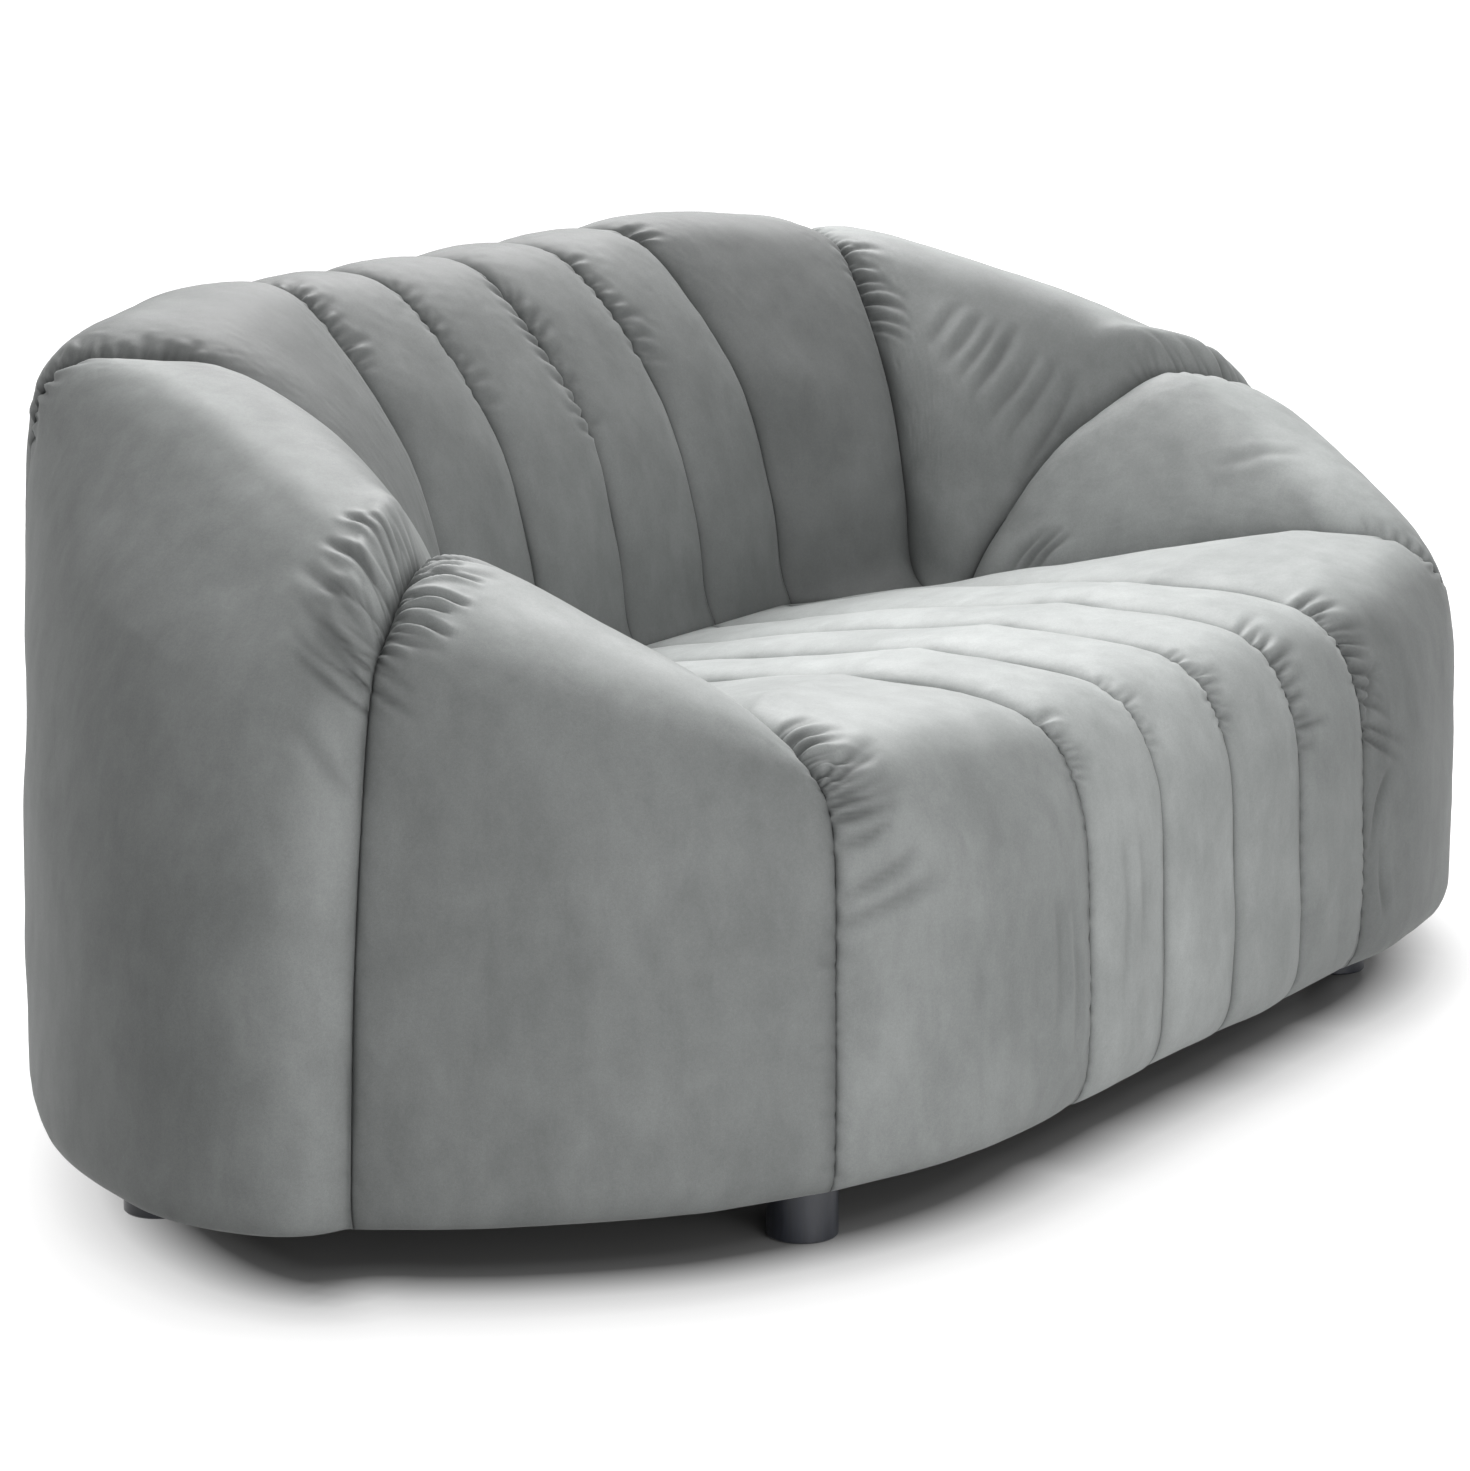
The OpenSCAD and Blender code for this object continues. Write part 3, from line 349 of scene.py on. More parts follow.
            # The group's first and last pleats are the shallowest
            ends = np.sin(np.pi * ((k + 1) / (count + 1))) ** 0.5
            deep = 2.3 * depth * rng.uniform(0.6, 1.15) * (0.55 + 0.45 * ends)
            s = (y - centre) / w
            body = (1 - f) ** 0.9
            valley = deep * body * np.exp(-np.abs(s) ** 1.5)
            ridge = PLEAT_RIDGE * deep * body * np.exp(-((np.abs(s) - 2.1) / 1.2) ** 2)
            total += ridge - valley
            # The bottom of each pleat gets painted shade
            self.fold_shade = np.maximum(self.fold_shade, np.clip(valley / FOLD_SHADE_DEPTH, 0, 1))
        self.push(total, SEAM_SHARE)

    def crease(self, points, depth, width, ends=(0, 0)):
        """A long soft fold along (u, t) points; ends says how much of it is left at each end."""
        points = np.array(points, float)
        u = np.interp(points[:, 0], self.u, np.arange(len(self.u)))
        t = np.interp(points[:, 1], self.t, np.arange(len(self.t)))
        k = np.linspace(0, 1, len(points))
        fine = np.linspace(0, 1, 9 * (len(points) - 1) + 1)
        iu = np.clip(smooth_path(k, u, fine), 0, len(self.u) - 1.001)
        it = np.clip(smooth_path(k, t, fine), 0, len(self.t) - 1.001)
        a, b = iu.astype(int), it.astype(int)
        fu, ft = (iu - a)[:, None], (it - b)[:, None]
        g = self.p
        path = ((g[a, b] * (1 - fu) + g[a + 1, b] * fu) * (1 - ft)
                + (g[a, b + 1] * (1 - fu) + g[a + 1, b + 1] * fu) * ft)
        best = np.full(self.p.shape[:2], 1e9)
        place = np.zeros(self.p.shape[:2])
        for i in range(len(path) - 1):
            d = path[i + 1] - path[i]
            f = np.clip(((self.p - path[i]) @ d) / (d @ d), 0, 1)
            dist = np.linalg.norm(self.p - path[i] - f[..., None] * d, axis=2)
            closer = dist < best
            best = np.where(closer, dist, best)
            place = np.where(closer, (i + f) / (len(path) - 1), place)
        taper = np.maximum(np.sin(np.pi * place) ** 0.7,
                           np.maximum(ends[0] * (1 - ramp(0, 0.5, place)),
                                      ends[1] * ramp(0.5, 1, place)))
        s = best / width
        valley = depth * taper * np.exp(-s ** 1.5)
        ridge = depth * taper * CREASE_RIDGE * np.exp(-((s - 2.1) / 1.1) ** 2)
        # The bottom of a crease gets painted shade, paler where the crease is wide
        dark = np.clip(valley / FOLD_SHADE_DEPTH, 0, 1) * min(1, FOLD_SHADE_WIDTH / width)
        self.fold_shade = np.maximum(self.fold_shade, dark)
        self.push(ridge - valley, SEAM_SHARE)

    def build(self, material, slot, nap):
        """The closed mesh: the visible face, and the hollow side that lies on the frame."""
        gap = SEAM_GAP / 2
        hollow_a, hollow_b, knot = self.hollows
        inner = []
        for n, (a, b) in enumerate(zip(hollow_a, hollow_b)):
            pa, pb = self.a.point(a, gap)[0], self.b.point(b, -gap)[0]
            t = self.t[:, None]
            # On the rails, the first two rows, the rear arm pad's hollow bends round the knot
            if knot is None or n > 1:
                inner.append(mix(pa, pb, t))
            else:
                pm = np.array([knot[0], knot[1], a[1]])
                inner.append(np.where(t < 0.5, mix(pa, pm, 2 * t), mix(pm, pb, 2 * t - 1)))
        rows = np.concatenate([self.p[:-1], np.array(inner)], axis=0)
        nu, nt = rows.shape[:2]
        if self.left:
            rows = rows * np.array([-1.0, 1.0, 1.0])
        i, j = np.meshgrid(np.arange(nu), np.arange(nt - 1), indexing="ij")
        k = (i + 1) % nu
        quads = np.stack([i * nt + j, k * nt + j, k * nt + j + 1, i * nt + j + 1], -1)
        quads = quads.reshape(-1, 4)
        caps = [np.arange(nu)[::-1] * nt, np.arange(nu) * nt + nt - 1]
        if self.left:
            quads = quads[:, ::-1]
            caps = [c[::-1] for c in caps]
        obj = new_object(self.name + "_cover", (rows / 1000).reshape(-1, 3), [*quads, *caps])
        mesh = obj.data
        # Painted shade: how close a point is to a seam or the bottom of a fold, where the colour is
        # painted darker
        shown = len(self.u) - 1
        near = np.zeros((nu, nt))
        near[:shown] = np.exp(-np.minimum(self.from_a, self.from_b)[:shown] / SEAM_SHADE_REACH)
        near[:shown] = np.maximum(near[:shown], 0.85 * self.fold_shade[:shown])
        near[shown:] = 1.0
        store(mesh, "near_seam", near)
        # Painted light and shade: a tone for each pad's inside and outside, and its upper sides
        # painted lighter, as lit from above
        inside, outside, upper = nap
        painted_tone = np.full((nu, nt), outside)
        painted_tone[:shown] = mix(inside, outside, ramp(0.34, 0.46, self.u[:shown]))[:, None]
        painted_tone[:shown] *= 1 + upper * ramp(0.6, 1.0, self.n[:shown, :, 2])
        store(mesh, "nap", painted_tone)
        mesh.polygons.foreach_set("use_smooth", [True] * len(quads) + [False, False])
        mesh.materials.append(material)
        mesh.validate()
        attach(obj, "root")
        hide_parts(self.name)


def grid_faces(rows, cols):
    """Quads of a grid of points that is stored row by row."""
    k = (np.arange(rows - 1)[:, None] * cols + np.arange(cols - 1)[None, :]).reshape(-1)
    return np.stack([k, k + cols, k + cols + 1, k + 1], -1)


def new_object(name, points, faces):
    """A mesh object in the scene, from points in metres."""
    mesh = bpy.data.meshes.new(name)
    mesh.from_pydata(np.asarray(points).tolist(), [], [[int(v) for v in f] for f in faces])
    obj = bpy.data.objects.new(name, mesh)
    scene.collection.objects.link(obj)
    return obj


def store(mesh, name, values):
    """Keeps a number at each point of a mesh, for its material."""
    mesh.attributes.new(name, "FLOAT", "POINT").data.foreach_set("value", values.reshape(-1))


def smooth_path(k, values, fine):
    """A smooth curve through three or more values at k, read at fine; also for a table's rows."""
    slope = np.gradient(values, k, axis=0)
    i = np.clip(np.searchsorted(k, fine, "right") - 1, 0, len(k) - 2)
    h = k[i + 1] - k[i]
    s = (fine - k[i]) / h
    if np.ndim(values) > 1:
        h, s = h[:, None], s[:, None]
    return ((2 * s ** 3 - 3 * s ** 2 + 1) * values[i] + (s ** 3 - 2 * s ** 2 + s) * h * slope[i]
            + (3 * s ** 2 - 2 * s ** 3) * values[i + 1] + (s ** 3 - s ** 2) * h * slope[i + 1])


def waves(points, size, count, seed):
    """Soft random unevenness of about the given size in mm, between about -1 and 1."""
    rng = np.random.default_rng(seed)
    total = np.zeros(points.shape[:2])
    for _ in range(count):
        way = rng.normal(size=3)
        way /= np.linalg.norm(way)
        k = 2 * np.pi / (size * rng.uniform(0.7, 1.5))
        total += np.sin(points @ (way * k) + rng.uniform(0, 2 * np.pi))
    return total / math.sqrt(count)


def spaced(length, spacing):
    """Grid lines about the given distance apart, with the first and the last among them."""
    count = max(3, int(round(length[-1] / spacing)))
    lines = np.unique(np.searchsorted(length, np.arange(count) * length[-1] / count))
    return np.append(lines, len(length) - 1)


def blurred(table, passes):
    """A table smoothed along both its axes, the given number of times."""
    for _ in range(2 * passes):
        low = np.vstack([table[:1], table[:-1]])
        high = np.vstack([table[1:], table[-1:]])
        table = ((low + 2 * table + high) / 4).T
    return table


def cloth_sheet(points, slack):
    """A cloth sheet on the given grid, held at its edges, with more cloth where slack is high."""
    nu, nt = points.shape[:2]
    obj = new_object("cover_sheet", (points / 1000).reshape(-1, 3), grid_faces(nu, nt))
    held = np.zeros((nu, nt), bool)
    held[[0, -1]] = held[:, [0, -1]] = True
    hold = obj.vertex_groups.new(name="hold")
    hold.add(np.flatnonzero(held).tolist(), 1.0, "REPLACE")
    hold.add(np.flatnonzero(~held).tolist(), STUFFING_HOLD, "REPLACE")
    more = obj.vertex_groups.new(name="slack")
    for row in range(nu):
        more.add(list(range(row * nt, (row + 1) * nt)), float(slack[row]), "REPLACE")
    cloth = obj.modifiers.new("cloth", "CLOTH")
    for key, value in CLOTH_SETTINGS.items():
        setattr(cloth.settings, key, value)
    cloth.settings.effector_weights.gravity = 0.0
    cloth.collision_settings.use_collision = False
    cloth.point_cache.frame_start, cloth.point_cache.frame_end = 1, CLOTH_FRAMES
    return obj


def settle_cover(pad, loose, gain, seed):
    """Lets the cover's cloth settle over its stuffing, and keeps the folds that it makes. There is
    most cloth to spare in the window along the seam lines that loose gives."""
    rows = spaced(pad.along[:, len(pad.t) // 2], CLOTH_SPACING)
    cols = spaced(pad.from_a[int(np.argmax(pad.from_a[:, -1]))], CLOTH_SPACING)
    grid, normal = pad.p[np.ix_(rows, cols)], pad.n[np.ix_(rows, cols)]
    # A little roughness, in mm, from which folds can start
    rough = np.random.default_rng(seed).normal(size=grid.shape[:2]) * 0.3
    rough[[0, -1]] = rough[:, [0, -1]] = 0
    obj = cloth_sheet(grid + normal * rough[..., None], mix(0.12, 1, window(*loose, pad.u[rows])))
    for number in range(1, CLOTH_FRAMES + 1):
        scene.frame_set(number)
    done = obj.evaluated_get(bpy.context.evaluated_depsgraph_get()).to_mesh()
    flat = np.empty(grid.size)
    done.vertices.foreach_get("co", flat)
    moved = ((flat.reshape(grid.shape) * 1000 - grid) * normal).sum(-1)
    bpy.data.objects.remove(obj)
    scene.frame_set(1)
    # The pad's form has its swell already, so only the folds are kept, each within the cap
    folds = moved - blurred(moved, BROAD_PASSES)
    folds = CLOTH_CAP * np.tanh(gain * folds / CLOTH_CAP)
    every_row, every_col = np.arange(len(pad.u), dtype=float), np.arange(len(pad.t), dtype=float)
    folds = smooth_path(rows.astype(float), folds, every_row)
    folds = smooth_path(cols.astype(float), folds.T, every_col).T
    # The stuffing smooths the cover towards the middle of a wide pad
    seam_side = np.exp(-(np.minimum(pad.from_a, pad.from_b) / FOLD_REACH) ** 2)
    ends = window(0.04, 0.14, 0.84, 0.93, pad.u)
    pad.push(folds * mix(0.15, 1.0, seam_side) * ends[:, None])


def all_pads():
    """Every pad by name. The numbers are columns, crown, crown on the inside, and swell."""
    pads = []
    for n, i in enumerate(range(-2, 2)):
        h = seat_hollow(SEAT_LINE)
        pads.append(Pad(f"seat_channel_pad_{n + 1}", seat_seam(i), seat_seam(i + 1), 34, 8, 8, 0,
                        h, h))
        pads.append(Pad(f"back_channel_pad_{n + 1}", back_seam(i + 1), back_seam(i), 36, 8, 8, 0,
                        BACK_HOLLOW, BACK_HOLLOW))
    for side in ("left", "right"):
        left = side == "left"
        pads.append(Pad(f"seat_end_pad_{side}", seat_seam(2), FRONT_SEAM, 60, 9, 9, 21,
                        seat_hollow(SEAT_LINE), seat_hollow(FRONT_LINE), left=left))
        pads.append(Pad(f"back_end_pad_{side}", REAR_SEAM, back_seam(2), 84, 23, 9, 45,
                        REAR_HOLLOW, BACK_HOLLOW, left=left))
        pads.append(Pad(f"arm_front_pad_{side}", FRONT_SEAM, ARM_SEAM, 96, 18, 9, 42,
                        FRONT_HOLLOW, ARM_HOLLOW, left=left))
        pads.append(Pad(f"arm_rear_pad_{side}", ARM_SEAM, REAR_SEAM, 120, 31, 9, SIDE_SWELL,
                        ARM_HOLLOW, REAR_HOLLOW, mid=SIDE_KNOT, skew=SIDE_SKEW, left=left))
    return {p.name: p for p in pads}


def srgb(r, g, b):
    """A colour given in 8-bit sRGB, as Blender's linear colour."""
    def linear(v):
        v = v / 255
        return v / 12.92 if v <= 0.04045 else ((v + 0.055) / 1.055) ** 2.4
    return (linear(r), linear(g), linear(b), 1.0)


def grey(value):
    return (value, value, value, 1.0)


class Nodes:
    """A small helper to build a material's node tree."""

    def __init__(self, name):
        self.material = bpy.data.materials.new(name)
        self.material.use_nodes = True
        self.tree = self.material.node_tree
        self.shader = next(n for n in self.tree.nodes if n.type == "BSDF_PRINCIPLED")
        self.coords = self.add("ShaderNodeTexCoord").outputs["Object"]

    def add(self, kind, **values):
        node = self.tree.nodes.new(kind)
        for key, value in values.items():
            if key in node.bl_rna.properties:
                setattr(node, key, value)
            else:
                node.inputs[key.replace("_", " ")].default_value = value
        return node

    def link(self, a, b):
        self.tree.links.new(a, b)

    def feed(self, value, socket):
        """Gives a socket a fixed value, or links another socket to it."""
        if isinstance(value, (int, float, tuple)):
            socket.default_value = value
        else:
            self.link(value, socket)

    def noise(self, scale, detail=2.0, rough=0.5, distort=0.0, stretch=None):
        node = self.add("ShaderNodeTexNoise", Scale=scale, Detail=detail, Roughness=rough,
                        Distortion=distort)
        source = self.coords
        if stretch:
            mapping = self.add("ShaderNodeMapping", Scale=stretch)
            self.link(source, mapping.inputs["Vector"])
            source = mapping.outputs["Vector"]
        self.link(source, node.inputs["Vector"])
        return node.outputs["Fac"]

    def ramp(self, value, stops):
        node = self.add("ShaderNodeValToRGB")
        elements = node.color_ramp.elements
        elements.remove(elements[-1])
        elements[0].position, elements[0].color = stops[0]
        for place, colour in stops[1:]:
            elements.new(place).color = colour
        self.link(value, node.inputs["Fac"])
        return node.outputs["Color"]

    def between(self, value, low, high, start=0.3):
        """From one colour to another, over the middle of the value's range."""
        return self.ramp(value, [(start, low), (1 - start, high)])

    def math(self, operation, a, b):
        node = self.add("ShaderNodeMath", operation=operation)
        self.feed(a, node.inputs[0])
        self.feed(b, node.inputs[1])
        return node.outputs["Value"]

    def mix(self, factor, a, b, blend="MIX"):
        node = self.add("ShaderNodeMix", data_type="RGBA", blend_type=blend)
        self.feed(factor, node.inputs["Factor"])
        self.feed(a, node.inputs[6])
        self.feed(b, node.inputs[7])
        return node.outputs[2]

    def bump(self, height, strength, distance, under=None):
        node = self.add("ShaderNodeBump", Strength=strength, Distance=distance)
        self.link(height, node.inputs["Height"])
        if under is not None:
            self.link(under, node.inputs["Normal"])
        return node.outputs["Normal"]

    def attribute(self, name):
        return self.add("ShaderNodeAttribute", attribute_name=name)

    def tint(self, colour, low, high, start, *noise):
        """The colour made darker and lighter by noise."""
        shade = self.between(self.noise(*noise), grey(low), grey(high), start)
        return self.mix(1.0, colour, shade, "MULTIPLY")

    def set(self, **values):
        for key, value in values.items():
            self.feed(value, self.shader.inputs[key.replace("_", " ")])


def velvet_material():
    m = Nodes("grey_velvet")
    colour = m.between(m.noise(8.0, 5.0, 0.6, 0.2), srgb(145, 148, 147), srgb(161, 164, 163), 0.34)
    # Brush marks, grain and single fibres
    colour = m.tint(colour, 0.91, 1.08, 0.3, 30.0, 4.0, 0.6, 0.3, (1.0, 1.0, 0.45))
    colour = m.tint(colour, 0.95, 1.05, 0.3, 330.0, 3.0, 0.7)
    colour = m.tint(colour, 0.93, 1.06, 0.25, 1000.0, 1.0)
    # Painted light and shade: each pad's tone, darker inside and lighter on top
    colour = m.mix(1.0, colour, m.attribute("nap").outputs["Color"], "MULTIPLY")
    # Painted shade at the seams and in the bottoms of folds: the colour mixed towards dark grey
    shade = m.math("MULTIPLY", m.attribute("near_seam").outputs["Fac"], 0.7)
    colour = m.mix(shade, colour, srgb(52, 54, 54))
    soft = m.bump(m.noise(30.0, 3.0, 0.55, 0.8), 0.05, 0.003)
    pile = m.bump(m.noise(1100.0, 2.0, 0.6), 0.25, 0.0005, soft)
    m.set(Base_Color=colour, Normal=pile, Roughness=0.58, Specular_IOR_Level=0.3,
          Sheen_Weight=0.15, Sheen_Roughness=0.35, Sheen_Tint=srgb(250, 252, 251))
    return m.material


def timber_material():
    m = Nodes("beech_frame")
    rings = m.noise(5.0, 4.0, 0.6, 2.0, (1.0, 1.0, 14.0))
    grain = m.noise(60.0, 3.0, 0.6, 0.5, (0.25, 0.25, 4.0))
    colour = m.ramp(rings, [(0.25, srgb(178, 138, 92)), (0.55, srgb(205, 168, 120)),
                            (0.8, srgb(221, 189, 146))])
    streaks = m.between(grain, srgb(150, 110, 70), srgb(226, 198, 158))
    m.set(Base_Color=m.mix(0.35, colour, streaks),
          Roughness=m.between(grain, grey(0.5), grey(0.75), 0.2),
          Normal=m.bump(grain, 0.35, 0.0008))
    return m.material


def steel_material():
    m = Nodes("spring_steel")
    marks = m.noise(420.0, 3.0, 0.6)
    m.set(Base_Color=m.between(marks, srgb(118, 120, 124), srgb(168, 170, 174)),
          Metallic=1.0, Roughness=m.between(marks, grey(0.28), grey(0.5), 0.2),
          Normal=m.bump(marks, 0.15, 0.0003))
    return m.material


def plastic_material(name, colour):
    m = Nodes(name)
    grain = m.noise(700.0, 2.0)
    tint = m.between(m.noise(45.0, 2.0), srgb(*colour), srgb(*[c + 7 for c in colour]))
    m.set(Base_Color=tint, Roughness=m.between(grain, grey(0.5), grey(0.68), 0.2),
          Normal=m.bump(grain, 0.2, 0.0003))
    return m.material


def foam_material():
    m = Nodes("seat_foam_cream")
    cells = m.add("ShaderNodeTexVoronoi", Scale=420.0)
    m.link(m.coords, cells.inputs["Vector"])
    tint = m.between(m.noise(14.0, 3.0), srgb(222, 210, 168), srgb(236, 226, 190))
    m.set(Base_Color=tint, Roughness=0.95, Specular_IOR_Level=0.2,
          Normal=m.bump(cells.outputs["Distance"], 0.5, 0.0012))
    return m.material


def cover_material():
    m = Nodes("dust_cover_cloth")
    warp = m.add("ShaderNodeTexWave", Scale=160.0, Distortion=1.5)
    m.link(m.coords, warp.inputs["Vector"])
    fibres = m.noise(320.0, 4.0, 0.7, 0.6)
    tint = m.between(fibres, srgb(24, 25, 27), srgb(44, 45, 48))
    m.set(Base_Color=tint, Roughness=0.95, Specular_IOR_Level=0.15,
          Normal=m.bump(warp.outputs["Fac"], 0.2, 0.0004, m.bump(fibres, 0.4, 0.0005)))
    return m.material


def lacquer_material():
    m = Nodes("foot_lacquer")
    grain = m.noise(26.0, 4.0, 0.6, 0.4, (6.0, 6.0, 0.6))
    speck = m.noise(380.0, 2.0)
    tint = m.between(grain, srgb(22, 25, 33), srgb(33, 37, 47))
    m.set(Base_Color=tint, Roughness=m.between(speck, grey(0.3), grey(0.42), 0.2),
          Coat_Weight=0.25, Coat_Roughness=0.3,
          Normal=m.bump(grain, 0.12, 0.0006, m.bump(speck, 0.06, 0.0003)))
    return m.material


VELVET = velvet_material()
TIMBER = timber_material()
STEEL = steel_material()
CLIP = plastic_material("clip_plastic", (34, 35, 38))
GLIDE = plastic_material("glide_plastic", (26, 27, 30))
FOAM = foam_material()
CLOTH = cover_material()
LACQUER = lacquer_material()


def by_name(table, name):
    """The entry of a table whose key the name starts with."""
    return next(value for start, value in table.items() if name.startswith(start))


# The covers
pads = all_pads()
# In mm: how deep a pad is drawn in at its first and second seam, and how far from them
GROOVES = {"seat_channel": (10, 10, 20), "back_channel": (8, 8, 20), "seat_end": (10, 18, 22),
           "back_end": (16, 8, 20), "arm_front": (18, 26, 26), "arm_rear": (25, 16, 30)}
for n, pad in enumerate(pads.values()):
    pad.draw_in(*by_name(GROOVES, pad.name))
    if pad.name.startswith("arm"):
        pad.plump_arm()
    # No stuffed cover is even: long waves of about 1.4 mm and short ones of 0.3 mm
    pad.push(1.4 * waves(pad.p, 170, 14, 100 + n) + 0.3 * waves(pad.p, 60, 18, 200 + n))

# Where the cloth has most to spare, over the crests and over the seat's front edge, and the share
# of its folds that is kept
SLACK = {"seat": ((0.40, 0.52, 0.66, 0.80), 0.45), "back": ((0.12, 0.28, 0.54, 0.74), 0.65),
         "arm": ((0.12, 0.28, 0.54, 0.74), 0.65)}
for n, pad in enumerate(pads.values()):
    settle_cover(pad, *by_name(SLACK, pad.name), 700 + n)

# Single folds that show in the photograph: (u, t) points, depth, width, and the share that is left
# at each end if any
CREASES = {
    "arm_rear_pad_left": [
        ([(0.466, 0.17), (0.456, 0.09), (0.468, 0)], 5.6, 4.6, (0, 1)),
        ([(0.508, 0.17), (0.502, 0.08), (0.497, 0)], 5.6, 4.6, (0, 1)),
        ([(0.545, 0.13), (0.537, 0.06), (0.527, 0)], 5.2, 4.6, (0, 1)),
        ([(0.446, 0.12), (0.440, 0.06), (0.452, 0)], 5.0, 4.2, (0, 1)),
        ([(0.423, 0.07), (0.430, 0.03), (0.440, 0)], 4.4, 4.0, (0, 1)),
        ([(0.579, 0.13), (0.61, 0.05), (0.653, 0)], 3.9, 7.2, (0, 0.6)),
        ([(0.541, 0.19), (0.547, 0.09), (0.565, 0)], 3.9, 6.5, (0, 0.8)),
        ([(0.67, 0.11), (0.684, 0.05), (0.694, 0)], 2.6, 7.2, (0, 0.5)),
    ],
    "arm_front_pad_left": [
        ([(0.486, 0.80), (0.48, 0.90), (0.49, 1)], 6.6, 4.0, (0, 1)),
        ([(0.437, 0.78), (0.44, 0.90), (0.462, 1)], 6.6, 4.0, (0, 1)),
        ([(0.532, 0.83), (0.52, 0.91), (0.52, 1)], 6.1, 4.0, (0, 1)),
        ([(0.501, 0.84), (0.497, 0.91), (0.504, 1)], 5.5, 3.2, (0, 1)),
        ([(0.401, 0.85), (0.418, 0.92), (0.44, 1)], 5.0, 3.6, (0, 1)),
    ],
    "arm_rear_pad_right": [
        ([(0.276, 0.59), (0.239, 0.66), (0.208, 0.73)], 2.4, 6.5),
        ([(0.276, 0.50), (0.233, 0.55), (0.191, 0.64)], 3.0, 6.5),
        ([(0.28, 0.43), (0.230, 0.47), (0.185, 0.54)], 2.4, 6.0),
        ([(0.284, 0.37), (0.228, 0.39), (0.171, 0.45)], 3.4, 6.5),
        ([(0.266, 0.27), (0.214, 0.28), (0.159, 0.33)], 3.2, 6.5),
        ([(0.272, 0.20), (0.212, 0.20), (0.156, 0.21)], 2.8, 6.0),
        ([(0.276, 0.14), (0.211, 0.11), (0.152, 0.09)], 3.4, 6.5),
    ],
    "arm_front_pad_right": [
        ([(0.267, 0.38), (0.348, 0.35), (0.464, 0.37)], 1.8, 8.0),
        ([(0.128, 0.35), (0.097, 0.26), (0.071, 0.06)], 5.0, 5.5, (0, 0.5)),
        ([(0.128, 0.43), (0.092, 0.32), (0.068, 0.12)], 5.6, 5.5, (0, 0.5)),
        ([(0.115, 0.47), (0.082, 0.38), (0.065, 0.18)], 4.4, 5.0, (0, 0.5)),
    ],
    "seat_end_pad_right": [
        ([(0.649, 0.17), (0.670, 0.08), (0.69, 0.03)], 4.3, 6.4, (0, 0.6)),
        ([(0.715, 0.17), (0.733, 0.09), (0.758, 0.04)], 4.3, 7.2, (0, 0.4)),
        ([(0.755, 0.09), (0.775, 0.11), (0.795, 0.14)], 3.1, 6.4),
    ],
    "seat_end_pad_left": [
        ([(0.633, 0.84), (0.633, 0.93), (0.638, 1)], 5.5, 4.0, (0, 1)),
        ([(0.66, 0.80), (0.672, 0.90), (0.677, 1)], 4.0, 5.0, (0, 1)),
        ([(0.68, 0.72), (0.693, 0.87), (0.702, 1)], 4.4, 7.2, (0, 0.9)),
        ([(0.694, 0.64), (0.704, 0.84), (0.714, 1)], 4.0, 7.9, (0, 0.8)),
        ([(0.705, 0.21), (0.742, 0.19), (0.775, 0.20)], 2.0, 7.2),
        ([(0.715, 0.11), (0.754, 0.10), (0.79, 0.11)], 1.8, 5.8),
    ],
    "seat_channel_pad_1": [
        ([(0.69, 0.36), (0.733, 0.42), (0.77, 0.34)], 1.9, 5.6),
        ([(0.685, 0.58), (0.729, 0.64), (0.762, 0.56)], 1.9, 5.6),
    ],
}
for name, folds in CREASES.items():
    for fold in folds:
        pads[name].crease(*fold)

